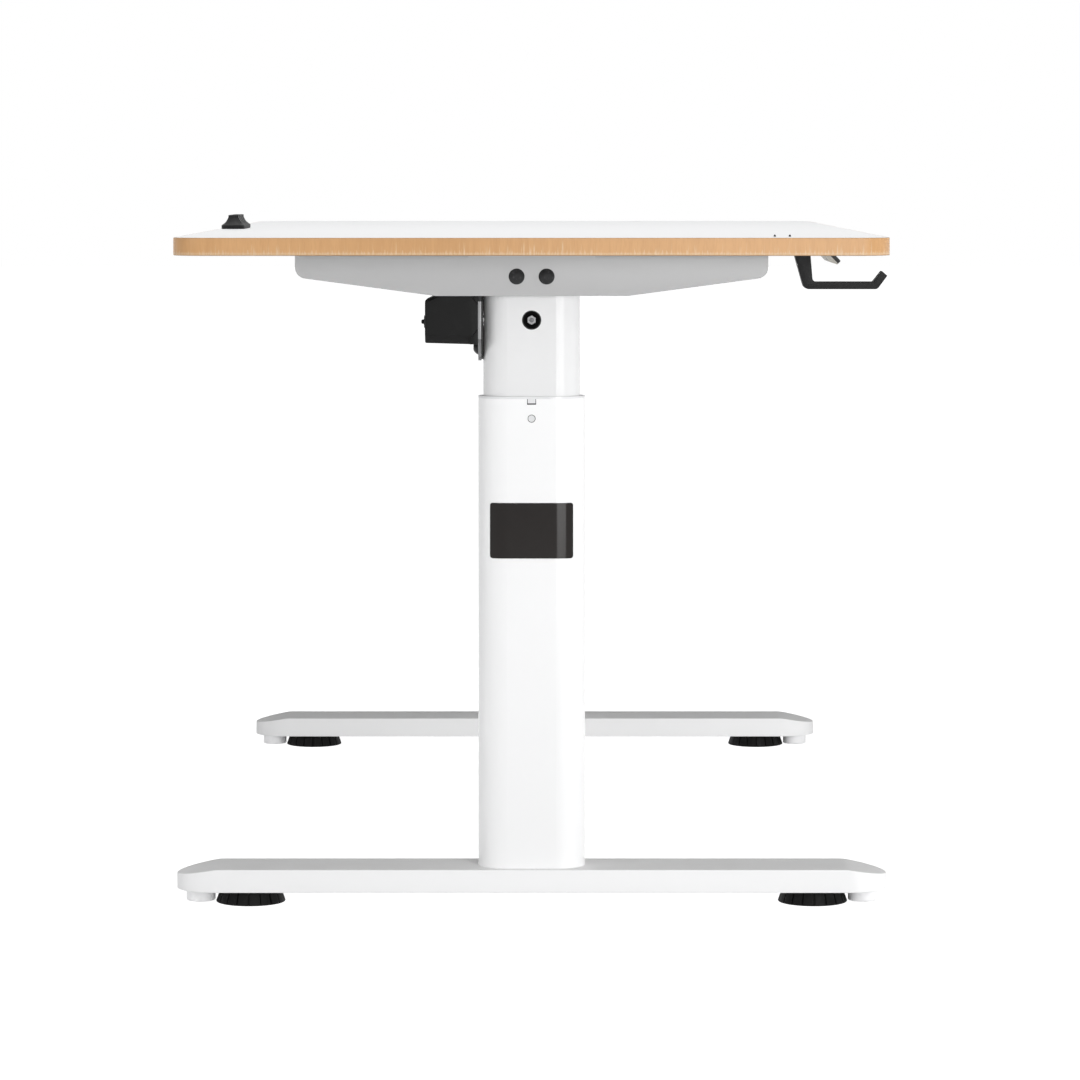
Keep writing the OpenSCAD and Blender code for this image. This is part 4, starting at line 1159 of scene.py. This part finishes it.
@dataclass
class Leveller(Assembly):
    """One levelling pad: a black cone with deep flutes, and its threaded stud."""

    side: Side
    end: End
    place_y: float = 300 * MM
    base: float = 37 * MM
    crown: float = 32 * MM
    flutes: int = 18
    flute: float = 0.8 * MM
    stud: float = 4 * MM
    stud_low: float = 14.4 * MM
    stud_top: float = 33.8 * MM
    pitch: float = 1.25 * MM
    thread: float = 0.55 * MM

    def build(self) -> None:
        """Builds the pad and its stud on their own body."""
        name = f"leveller_{self.end.word}_{self.side.word}"
        centre = np.array([self.side.value * COLUMN_X, self.end.value * self.place_y, 0.0])
        pad = Shell().solid(self.cone() + centre).solid(self.screw() + centre).piece(f"{name}_pad", 38.0)
        self.add(pad, Finish.RUBBER, name, name)

    def cone(self) -> Points:
        """The pad's cone.

        Its radius at height z and angle a is its slope less a groove, which is a narrow
        bell, exp(-(distance along the rim / half a groove) ^ 8), that ends above the rim.

        Returns:
            Points of shape (rings, n, 3).
        """
        z = mm([0.0, 0.25, 1.2, 2.5, 5, 8, 11, 13.6, 14.6, 14.9])
        slope = np.repeat([self.base, self.crown], 3) + mm([-1.3, -0.6, 0, 0.6, 0, -0.6])
        skirt = np.interp(z, mm([0, 0.25, 1.2, 13.6, 14.6, 14.9]), slope)
        depth = np.interp(z, mm([0, 0.9, 1.4, 14.9]), mm([0, 0, 2.2, 1.6]))
        half = np.array([0.012, 0.035, 0.052, 0.06, 0.068, 0.08, 0.13, 0.22, 0.34, 0.46])
        wave = np.tile(np.concatenate([-half[::-1], half]), self.flutes) * ROUND / self.flutes
        angle = np.repeat(np.arange(self.flutes), 2 * len(half)) * ROUND / self.flutes + wave
        bell = np.exp(-(np.abs(wave * self.base) / self.flute) ** 8)
        return lift(polar(skirt[:, None] - depth[:, None] * bell, angle), z[:, None], Axis.Z)

    def screw(self) -> Points:
        """The stud, whose radius falls by a saw wave of height over pitch plus angle over a turn.

        Returns:
            Points of shape (rings, n, 3).
        """
        turn = around(20)
        height = np.linspace(self.stud_low, self.stud_top, 100)[:, None]
        phase = (height / self.pitch + turn / ROUND) % 1
        return lift(polar(self.stud - self.thread * np.abs(2 * phase - 1), turn), height, Axis.Z)


@dataclass
class Columns(Assembly):
    """The telescopic columns, their plastic guides and the blank plate on the left one."""

    outer_width: float = 62 * MM
    outer_half: float = 57 * MM
    shoulder: float = 31 * MM
    tube_top: float = 537.8 * MM
    tab_width: float = 8.5 * MM
    tab_height: float = 4.8 * MM
    boss: float = 7.4 * MM
    boss_z: float = 517 * MM
    film_corner: float = 3 * MM
    film_top: float = 0.58 * MM
    film_back: float = 0.02 * MM
    film_edge: float = 0.42 * MM
    gap_shade_depth: float = 0.9 * MM

    def build(self) -> None:
        """Builds the film and the dark pieces of painted shade in the guides' gaps and dresses the columns'
        nodes.
        """
        self.dress(Finish.SHADED_GUIDE_PLASTIC, "slide_shoes")
        self.dress(Finish.WHITE_PLASTIC, "end_glides")
        self.dress(Finish.PLATED, "sole_plates", "column_bases", "foot_bolts")
        self.add(self.film(), Finish.FILM, "base", "blank_plate")
        for side in Side:
            self.dress(Finish.WHITE_STEEL, f"outer_column_{side.word}")
            self.dress(Finish.SHADED_INNER_STEEL, f"inner_column_{side.word}")
            self.dress(Finish.SHADED_GUIDE_PLASTIC, f"collar_{side.word}")
            # painted shade: black pieces in the gaps round the guide's tab and boss
            self.add(self.gap_shade(side), Finish.SHADE_BLACK, "base")

    def film(self) -> Thing:
        """The blank film: a round-cornered sheet bent round the column's flat and its shoulders.

        A point's place along the sheet is u. Up to the flat's end it lies straight; beyond it
        turns by (|u| - flat) / radius. Each level's half width is that of a rectangle with
        round corners, W/2 - R + sqrt(R^2 - (|v| - H/2 + R)^2) within R of its ends.

        Returns:
            The film's piece.
        """
        low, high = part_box("blank_plate")
        half, middle = (high.z - low.z) / 2, (high.z + low.z) / 2
        flat, bend, corner = self.outer_half - self.shoulder, self.shoulder, self.film_corner
        reach = flat + bend * math.asin((high.y - flat) / (bend + 0.6 * MM))
        v = half - corner + corner * np.sin(np.radians(np.linspace(0, 90, 9)))
        v = np.concatenate([-v[::-1], np.linspace(corner - half, half - corner, 9)[1:-1], v])
        over = np.clip(np.abs(v) - half + corner, 0, corner)
        width = reach - corner + np.sqrt(np.maximum(corner ** 2 - over ** 2, 0))
        share = np.linspace(-1, 1, 61)
        radius = bend + np.repeat([self.film_top, self.film_back], 61)
        radius[[0, 60]] = bend + self.film_edge
        u = np.concatenate([share, share[::-1]]) * width[:, None]
        angle = np.maximum(np.abs(u) - flat, 0) / bend
        x = -COLUMN_X - radius * np.cos(angle)
        y = np.sign(u) * (np.minimum(np.abs(u), flat) + radius * np.sin(angle))
        rings = lift(np.stack([x, y], -1), v[:, None] + middle, Axis.Z)
        return Shell().solid(rings).piece("blank_film", 40.0)

    def gap_shade(self, side: Side) -> Thing:
        """Dark pieces in the gaps round a guide's tab and its round boss, put there as painted shade.

        Args:
            side: The column.

        Returns:
            Both dark pieces as one piece.
        """
        face = side.value * (COLUMN_X + self.outer_width / 2)
        depths = sorted(face - side.value * np.array([-0.03 * MM, self.gap_shade_depth]))
        low, high = self.tube_top - self.tab_height - 1.2 * MM, self.tube_top - 0.1 * MM
        inner, outer, sill = self.tab_width / 2 - 0.15 * MM, self.tab_width / 2 + 0.5 * MM, low + 1.35 * MM
        tab = np.array([[-outer, low], [outer, low], [outer, high], [inner, high],
                        [inner, sill], [-inner, sill], [-inner, high], [-outer, high]])
        ring = mm([[-0.05, -0.02], [0.5, -0.02], [0.5, 0], [-0.05, 0]])
        ring[2:, 1] = self.gap_shade_depth
        turned = polar(self.boss / 2 + ring[:, :1], around(40)) + [0, self.boss_z]
        shell = Shell().slab(tab, *depths, 0.01 * MM, Axis.X, 2)
        shell.grid(lift(turned, face - side.value * ring[:, 1:], Axis.X), along=True)
        return shell.piece(f"guide_seal_{side.word}", 30.0)


@dataclass
class Frame(Assembly):
    """The frame under the board: heads, rails, side brackets and their screws."""

    sheet: float = 2.5 * MM
    web: float = 34.5 * MM
    half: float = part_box("side_bracket_left")[1].y
    end_height: float = 24 * MM
    middle_height: float = 43.8 * MM
    flat: float = 102 * MM
    start: float = 68 * MM
    flange: float = 38 * MM
    bend: float = 3.4 * MM
    edge: float = 0.45 * MM
    gap: float = 0.02 * MM

    def build(self) -> None:
        """Builds the side brackets and dresses the frame's nodes."""
        self.dress(Finish.WHITE_STEEL, "rail_front", "rail_rear", "head_left", "head_right")
        self.dress(Finish.DARK_STEEL, "bracket_bolts", "rail_screws")
        for side in Side:
            self.add(self.bracket(side), Finish.SHADED_SHEET_STEEL, "lift", f"side_bracket_{side.word}")

    def bracket(self, side: Side) -> Thing:
        """One side bracket: a web with round corners and two flanges, each joined by a bend.

        The bend is a quarter of a tube's wall, carried along Y.

        Args:
            side: The column that it stands over.

        Returns:
            The bracket's piece.
        """
        low, end, crown = UNDER - self.middle_height, UNDER - self.end_height, UNDER - self.bend
        web = np.array([[-self.half, crown], [-self.half, end], [-self.flat, low], [self.flat, low],
                        [self.half, end], [self.half, crown], [self.start, crown], [self.start, UNDER],
                        [-self.start, UNDER], [-self.start, crown]])
        web = rounded(web, mm([0, 12, 20, 20, 12, 0, 0, 2, 2, 0]), 9)
        inner = side.value * (COLUMN_X + self.web)
        outer = side.value * (COLUMN_X + self.web + self.sheet)
        far, near = outer - side.value * self.bend, outer - side.value * self.flange
        plate = np.array([[far, self.start], [far, self.half], [near, self.half], [near, self.start]])
        turn = np.linspace(0, math.pi / 2, 7)
        section = np.concatenate([polar(self.bend, turn), polar(self.bend - self.sheet, turn[::-1])])
        section = section * [side.value, 1] + [far, crown - self.gap]
        shell = Shell().slab(web, min(outer, inner), max(outer, inner), self.edge, Axis.X)
        for end in End:
            flange = anticlockwise(rounded(plate * [1, end.value], mm([0, 0, 8, 8]), 7))
            shell.slab(flange, UNDER - self.sheet, UNDER - self.gap, 0.3 * MM, Axis.Z, 3)
            ends = np.array([[self.start], [self.half]]) * end.value
            shell.solid(lift(np.stack([section, section]), ends, Axis.Y))
        return shell.piece(f"side_bracket_{side.word}_pressing", 35.0)


@dataclass
class Drive(Assembly):
    """The gear motor behind the left column, the cross shaft, the gears and the lead screws."""

    front: float = 57.0 * MM
    length: float = 56.4 * MM
    half: float = 30 * MM
    ear_start: float = 9.5 * MM
    ear_inset: float = 1.2 * MM
    low: float = 595.3 * MM
    height: float = 55.5 * MM
    chamfer: float = 9 * MM
    trim: float = 3.4 * MM
    rounding: float = 1.6 * MM
    ear: float = 9 * MM
    axis_z: float = 621.4 * MM
    boss_drop: float = 2.5 * MM

    def build(self) -> None:
        """Builds the case and the painted shade at the shaft's centre and dresses the drive's nodes."""
        self.add(self.case(), Finish.MOTOR_BLACK, "lift", "motor_case")
        self.add(softened("motor_plate", 0.5 * MM), Finish.SHADED_PLATED, "lift", "motor_plate")
        self.add(self.painted_centre_shade(), Finish.SHAFT_CENTRE_SHADE, "shaft")
        # motor_spacers holds a black gasket behind the motor plate, a dark sheet that paints the plate's
        # shadow on the column
        self.dress(Finish.BLACK_PLASTIC, "motor_spacers", "gear_housing_left", "gear_housing_right")
        # painted shade: the bushes' near-black stands for the shade inside the shaft's hole
        self.dress(Finish.SHADE_BLACK, "shaft_bushes")
        self.dress(Finish.DARK_STEEL, "motor_screws")
        self.dress(Finish.SHADED_PLATED, "cross_shaft")
        self.dress(Finish.MACHINED, "motor_core", "cross_pinions", "motor_pinion", "screw_gear_left",
                   "screw_gear_right", "screw_bearings", "lead_screw_left", "lead_screw_right")
        self.dress(Finish.BRONZE, "drive_nuts")

    def painted_centre_shade(self) -> Thing:
        """A dark disc that paints the shade of the recess at the centre of the shaft's left end: a flat
        button with a soft rim.

        Returns:
            The button's piece.
        """
        button = mm([[0, -0.3], [2.1, -0.3], [2.1, 0.03], [1.9, 0.08], [0, 0.08]])
        centre = (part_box("cross_shaft")[0].x, 0.0, self.axis_z)
        return Shell().lathe(button, centre, Axis.X, 24, -1).piece("shaft_painted_centre_shade", 30.0)

    def section(self, low: float, high: float, inward: float) -> Points:
        """One section of the case: a rectangle with cut corners, each softened by an arc.

        Args:
            low: Height of its lower edge.
            high: Height of its upper edge.
            inward: How far it is moved in.

        Returns:
            Points of shape (n, 2).
        """
        half, cut, trim = self.half - inward, self.chamfer - 0.6 * inward, self.trim - 0.3 * inward
        low, high = low + inward, high - inward
        points = np.array([[-half, low + cut], [cut - half, low], [half - cut, low], [half, low + cut],
                           [half, high - trim], [half - trim, high], [trim - half, high],
                           [-half, high - trim]])
        return rounded(points, np.full(8, 1.0 * MM), 5)

    def case(self) -> Thing:
        """The case: sections along Y, whose lower and upper edges follow the side outline.

        The front is cut away for the screw heads between four ears, the upper rear corner
        slopes, and a turned boss stands on the rear.

        Returns:
            The case's piece.
        """
        rear, high, nose = self.front + self.length, self.low + self.height, self.front + self.ear
        y = self.front + mm([0, 0.3, 1.5, 3, 5, 6.4, 7.2, 8, 10, 20, 30])
        y = np.concatenate([y, rear - mm([17.6, 17, 16.2, 10, 6, 2.2, 1.2, 0.5, 0.12, 0.0])])
        low = self.low + np.interp(y, [self.front, self.front + 6.4 * MM, rear], mm([8.2, 0.2, 1.6]))
        drop = np.interp(y, [self.front, self.front + 8 * MM, rear - 17 * MM, rear], mm([10, 0, 0, 8.2]))
        back = np.clip((y - rear) / self.rounding + 1, 0, 1)
        inward = self.rounding * (1 - np.sqrt(1 - back ** 2))
        rows = zip(low, high - drop, inward, y)
        rings = np.stack([lift(self.section(a, b, c), d, Axis.Y) for a, b, c, d in rows])
        shell = Shell().solid(rings - [COLUMN_X, 0, 0])
        for side in Side:
            ends = sorted(side.value * np.array([self.ear_start, self.half - self.ear_inset]) - COLUMN_X)
            for a, b in ((self.low + 0.3 * MM, self.low + 16 * MM), (high - 16 * MM, high - 0.5 * MM)):
                ear = np.array([[self.front, a], [nose, a], [nose, b], [self.front, b]])
                shell.slab(rounded(ear, np.full(4, 0.6 * MM), 4), *ends, 0.5 * MM, Axis.X, 3)
        boss = mm([[0, -1], [7.0, -1], [7.0, 0.8], [6.4, 1.5], [3.0, 1.8], [2.4, 2.2], [2.4, 3.3],
                         [1.9, 4.2], [0.9, 4.6], [0, 4.6]])
        shell.lathe(boss, (-COLUMN_X, rear, self.axis_z - self.boss_drop), Axis.Y)
        return shell.piece("motor_case_casting", 28.0)


@dataclass
class BagHook(Assembly):
    """The bag hook: a flat bent bar with soft edges, screwed under the board."""

    middle: float = -667 * MM
    width: float = 20 * MM
    drop: float = 36.8
    bar: float = 7.9
    flange: float = 1.3
    screws: tuple[float, float] = (102.6 * MM, 118.6 * MM)

    def build(self) -> None:
        """Builds the hook, its outline in millimetres from the desk's front, and its screws' tips."""
        top, low, bar, under = -0.01, -self.drop, self.bar - self.drop, -self.flange
        corners = np.array([[125.5, top], [81.1, top], [78.7, bar], [14.6, bar], [5.4, bar + 11.6],
                            [-0.6, bar + 6.4], [10, low], [88, low], [97.8, under], [125.5, under]])
        radii = mm([0.4, 0, 4, 2, 0.6, 0.6, 5, 7, 0.5, 0.5])
        outline = anticlockwise(rounded(corners * MM + [DESK_FRONT, UNDER], radii, 7))
        ends = self.middle - self.width / 2, self.middle + self.width / 2
        hook = Shell().slab(outline, *ends, 0.5 * MM, Axis.X).piece("bag_hook_bar", 30.0)
        self.add(hook, Finish.HOOK_PLASTIC, "lift", "bag_hook")
        tips = Shell()
        tip = mm([[0, -1], [1.25, -1], [1.25, 0.5], [0.95, 1.7], [0.45, 2.2], [0, 2.3]])
        for y in self.screws:
            tips.lathe(tip, (self.middle, DESK_FRONT + y, TOP), Axis.Z, 20)
        self.add(tips.piece("hook_screw_tips", 30.0), Finish.DARK_STEEL, "lift")


@dataclass
class CableStrip(Assembly):
    """The cable strip: a soft block with a flared foot, cut by five keyhole slots."""

    length: float = 128 * MM
    width: float = 27.6 * MM
    margin: float = 2.6 * MM
    crest: float = 11.8 * MM
    height: float = 16.6 * MM
    rim: float = 5 * MM
    corner: float = 10 * MM
    slots: int = 5
    slot: float = 3.5 * MM
    mouth: float = 4.8 * MM
    sink: float = 0.8 * MM
    reach: float = 30 * MM

    def build(self) -> None:
        """Builds the strip, cuts its slots and sets it on the lift."""
        strip, cutter = self.block(), self.cutters()
        cut = strip.modifiers.new("slots", "BOOLEAN")
        cut.object, cut.operation, cut.solver = cutter, "DIFFERENCE", "EXACT"
        applied(strip)
        bpy.data.objects.remove(cutter)
        self.add(smooth(strip, 34.0), Finish.STRIP_RUBBER, "lift", "cable_strip")

    @property
    def middle(self) -> float:
        """Y of the strip's middle line."""
        return DESK_REAR - self.margin - self.width / 2

    def block(self) -> Thing:
        """The block: a round rectangle moved in by the side section at each height.

        The section is a rim with soft edges, a slope that hollows a little, and an upright
        crest. The slope is the quadratic curve between a, b and c: (1-s)^2 a + 2s(1-s) b + s^2 c.

        Returns:
            The uncut block.
        """
        flare = (self.width - self.crest) / 2
        s = np.linspace(0, 1, 11)[:, None]
        bends = np.array([[0, -0.6 * MM], [0.68 * flare, 0.3 * flare], [flare, 1.15 * flare]])
        a, b, c = bends + [0, self.rim]
        section = np.concatenate([mm([[0.9, 0.0], [0.35, 0.12], [0.1, 0.4], [0, 0.9]]),
                                  (1 - s) ** 2 * a + 2 * s * (1 - s) * b + s ** 2 * c,
                                  mm([[0, -0.7], [0.2, -0.2], [0.7, 0]]) + [flare, self.height]])
        rings = []
        for depth, z in section:
            radius = min(max(self.corner - depth * 0.6, 1 * MM), self.width / 2 - depth - 0.2 * MM)
            flat = round_rectangle(self.length - 2 * depth, self.width - 2 * depth, radius)
            rings.append(lift(flat + [0, self.middle], TOP + z, Axis.Z))
        return Shell().solid(np.stack(rings)).piece("cable_strip_block", 34.0)

    def cutters(self) -> Thing:
        """The slots' keyhole sections, carried across the strip along Y.

        Returns:
            All the cutters as one object.
        """
        shell = Shell()
        z = TOP + self.rim + self.slot - self.sink
        gap = math.degrees(math.asin(self.mouth / 2 / self.slot))
        for index in range(self.slots):
            x = (index + 0.5) * self.length / self.slots - self.length / 2
            mouth = [[x + self.mouth / 2, z + self.reach], [x - self.mouth / 2, z + self.reach]]
            flat = np.concatenate([arc((x, z), self.slot, 90 + gap, 450 - gap, 25), mouth])
            ends = self.middle + np.array([[-self.reach], [self.reach]])
            shell.solid(lift(np.stack([flat, flat]), ends, Axis.Y))
        return shell.piece("slot_cutters")


@dataclass
class Handset(Assembly):
    """The handset: a black face on a grey back, with four marked keys and a dark display."""

    tilt: float = math.radians(47)
    key_width: float = 9 * MM
    key_rise: float = 0.9 * MM
    glass: tuple[float, float] = (25.2 * MM, 13.2 * MM)
    glass_corner: float = 0.8 * MM
    glass_depths: tuple[float, float] = (-0.55 * MM, -0.15 * MM)
    glass_inset: float = 20 * MM
    mark: float = 4 * MM
    bar: float = 0.9 * MM
    ink: float = 0.06 * MM
    ink_depth: float = 0.1 * MM

    def build(self) -> None:
        """Rounds the handset's edges, dresses it, and adds the glass and the keys' marks."""
        self.add(softened("handset_front", 0.5 * MM), Finish.BLACK_PLASTIC, "lift", "handset_front")
        self.add(softened("handset_back", 3.2 * MM, 5), Finish.GREY_PLASTIC, "lift", "handset_back")
        for key in ("key_up", "key_down", "key_memory_1", "key_memory_2"):
            self.add(softened(key, 0.35 * MM), Finish.KEY_PLASTIC, key, key)
        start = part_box("handset_front")[0].x + self.glass_inset
        pane = [round_rectangle(*self.glass, self.glass_corner)]
        self.add(self.tile("display_glass", pane, start, *self.glass_depths), Finish.FILM, "lift")
        half, top = self.mark / 2, self.key_rise + self.ink
        arrow = np.array([[-half, -half * 0.8], [half, -half * 0.8], [0.0, half * 0.8]])
        bar = round_rectangle(self.bar, self.mark, 0.4 * MM, 4)
        marks = {"key_up": [arrow], "key_down": [-arrow], "key_memory_1": [bar],
                 "key_memory_2": [bar - [MM, 0], bar + [MM, 0]]}
        for key, outlines in marks.items():
            low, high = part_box(key)
            mark = self.tile(f"{key}_mark", outlines, (low.x + high.x) / 2, top - self.ink_depth, top)
            self.add(mark, Finish.BLACK_PLASTIC, key)

    def tile(self, name: str, outlines: list[Points], x: float, low: float, high: float) -> Thing:
        """A thin plate on the tilted face.

        A flat point (a, b) at a depth c goes to (x + a, y0 + b cos t - c sin t,
        z0 + b sin t + c cos t), where (y0, z0) lies on the face in line with the keys.

        Args:
            name: Name of the object.
            outlines: Flat outlines, along X and up the face.
            x: Place of their middle along the handset.
            low: Height of the underside over the face.
            high: Height of the top over the face.

        Returns:
            The new object.
        """
        cos, sin = math.cos(self.tilt), math.sin(self.tilt)
        start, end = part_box("key_up")
        face = (end.z - start.z - self.key_width * sin) / cos / 2 - self.key_rise
        y, z = (start.y + end.y) / 2 - face * sin, (start.z + end.z) / 2 + face * cos
        turn = np.array([[1, 0, 0], [0, cos, sin], [0, -sin, cos]])
        shell = Shell()
        for outline in outlines:
            shell.slab(outline, low, high, 0.02 * MM, Axis.Z, 2)
        shell.points = [points @ turn + [x, y, z] for points in shell.points]
        return shell.piece(name)


class ControlBox(Assembly):
    """The control box behind the rear rail, with its lid, board and sockets."""

    def build(self) -> None:
        """Rounds the box's edges and dresses it."""
        self.add(softened("control_box", 1.2 * MM), Finish.BLACK_PLASTIC, "lift", "control_box")
        self.dress(Finish.BLACK_PLASTIC, "control_lid", "socket_strip")
        self.dress(Finish.CIRCUIT, "circuit_board")


# --- The room ---


@dataclass(frozen=True)
class Lamp:
    """One soft rectangular lamp, level at its foot, that looks at a point of the desk."""

    name: str
    where: Triple
    width: float
    height: float
    power: float
    aim: Triple = (-0.3, 0.0, 0.45)
    mirrored: bool = True

    def build(self) -> None:
        """Makes the lamp; its -Z axis is turned to the aim by a tilt, then a turn about Z."""
        data = bpy.data.lights.new(self.name, "AREA")
        data.shape, data.energy = "RECTANGLE", self.power
        data.size, data.size_y = self.width, self.height
        lamp = place(self.name, data)
        lamp.visible_camera, lamp.visible_glossy = False, self.mirrored
        lamp.location = self.where
        way = np.array(self.aim) - self.where
        x, y, z = way / np.linalg.norm(way)
        lamp.rotation_euler = (math.acos(-z), 0.0, math.atan2(-x, y))


@dataclass
class Studio:
    """A white room: a pale floor that keeps the shadow, soft lamps and the camera."""

    eye: Triple = (-5.403, -0.0153, 0.782)
    lens: float = 148.27
    sensor: float = 36.0
    view_end: float = 200.0
    shift: tuple[float, float] = (-0.00556, -0.34352)
    floor_size: float = 60.0
    floor_z: float = -0.05 * MM
    lamps: tuple[Lamp, ...] = (
        Lamp("softbox", (-4.00, -1.35, 0.88), 2.3, 1.7, 50.0),
        Lamp("fill", (-3.20, 3.00, 1.50), 1.8, 1.8, 11.0),
        Lamp("high front", (-3.20, -0.80, 3.60), 1.6, 1.6, 24.0),
        Lamp("side", (-1.00, -4.60, 1.00), 2.0, 1.6, 17.0, mirrored=False),
        Lamp("overhead", (0.00, 0.00, 3.20), 1.0, 1.0, 33.0),
        Lamp("low front", (-4.20, -1.10, 0.35), 0.8, 0.4, 24.0, (-0.68, 0.0, 0.08), False),
        Lamp("far foot left", (-0.60, 1.90, 0.25), 0.6, 0.3, 8.6, (0.65, 0.15, 0.03), False),
        Lamp("far foot right", (-0.60, -1.90, 0.25), 0.6, 0.3, 8.2, (0.65, -0.15, 0.03), False),
    )

    def build(self) -> None:
        """Builds the floor, the world, the lamps and the camera."""
        self.floor()
        self.world()
        for lamp in self.lamps:
            lamp.build()
        self.camera()
        bpy.context.scene.view_settings.view_transform = "Standard"

    @staticmethod
    def seen_or_lit(graph: Graph, lit: Socket, seen: Socket) -> Socket:
        """Mixes two shaders by the kind of ray.

        Args:
            graph: The tree.
            lit: The shader for rays that carry light.
            seen: The shader for rays from the camera, from mirrors and through glass.

        Returns:
            The mixed shader.
        """
        path = graph.add("LightPath", {})
        first = graph.maths("MAXIMUM", path["Is Camera Ray"], path["Is Glossy Ray"])
        mask = graph.maths("MAXIMUM", first, path["Is Transmission Ray"])
        return graph.add("MixShader", {0: mask, 1: lit, 2: seen})[0]

    def floor(self) -> None:
        """A plain floor, white to the camera except where the desk shades it."""
        mesh = bpy.data.meshes.new("floor")
        corners = np.array([[-1, -1], [1, -1], [1, 1], [-1, 1]]) * self.floor_size / 2
        mesh.from_pydata(lift(corners, self.floor_z, Axis.Z).tolist(), [], [[0, 1, 2, 3]])
        pale = bpy.data.materials.new("pale floor")
        pale.use_nodes = True
        graph = Graph(pale.node_tree)
        diffuse = graph.add("BsdfDiffuse", {"Color": (0.70, 0.70, 0.70)})[0]
        glow = graph.add("Emission", {"Color": (1, 1, 1), "Strength": 0.90})[0]
        both = graph.add("AddShader", {0: diffuse, 1: glow})[0]
        graph.add("OutputMaterial", {"Surface": self.seen_or_lit(graph, diffuse, both)})
        mesh.materials.append(pale)
        place("floor", mesh)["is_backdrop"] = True

    def world(self) -> None:
        """A white surround to the camera, and a softer one as light."""
        world = bpy.data.worlds.new("studio")
        world.use_nodes = True
        bpy.context.scene.world = world
        graph = Graph(world.node_tree)
        light = graph.add("Background", {"Color": (0.98, 0.99, 1.0), "Strength": 0.27})[0]
        white = graph.add("Background", {"Color": (1, 1, 1), "Strength": 1.0})[0]
        graph.add("OutputWorld", {"Surface": self.seen_or_lit(graph, light, white)})

    def camera(self) -> None:
        """A level camera off the desk's left end."""
        data = bpy.data.cameras.new("camera")
        data.sensor_width, data.lens, data.clip_end = self.sensor, self.lens, self.view_end
        data.shift_x, data.shift_y = self.shift
        camera = place("camera", data)
        camera.location = self.eye
        camera.rotation_euler = (math.pi / 2, 0, -math.pi / 2)
        bpy.context.scene.camera = camera


def write_sizes() -> None:
    """Works out the CAD model's box and the dressed model's box as plain lists, and keeps neither.
    """
    boxes = {"cad": CAD_BOX, "visual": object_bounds()}
    {name: [list(map(float, corner)) for corner in box] for name, box in boxes.items()}


def main() -> None:
    """Builds the desk's looks, sub-assembly by sub-assembly, and the room round it."""
    logging.basicConfig(level=logging.INFO, format="%(name)s: %(message)s")
    parts = [Desktop(), *map(Foot, Side), Columns(), Frame(), Drive(), BagHook(), CableStrip(), Handset(),
             ControlBox(), *[Leveller(side, end) for side in Side for end in End]]
    for part in parts:
        part.build()
        LOG.info("%s is built", type(part).__name__)
    Studio().build()
    write_sizes()


if __name__ == "__main__":
    main()
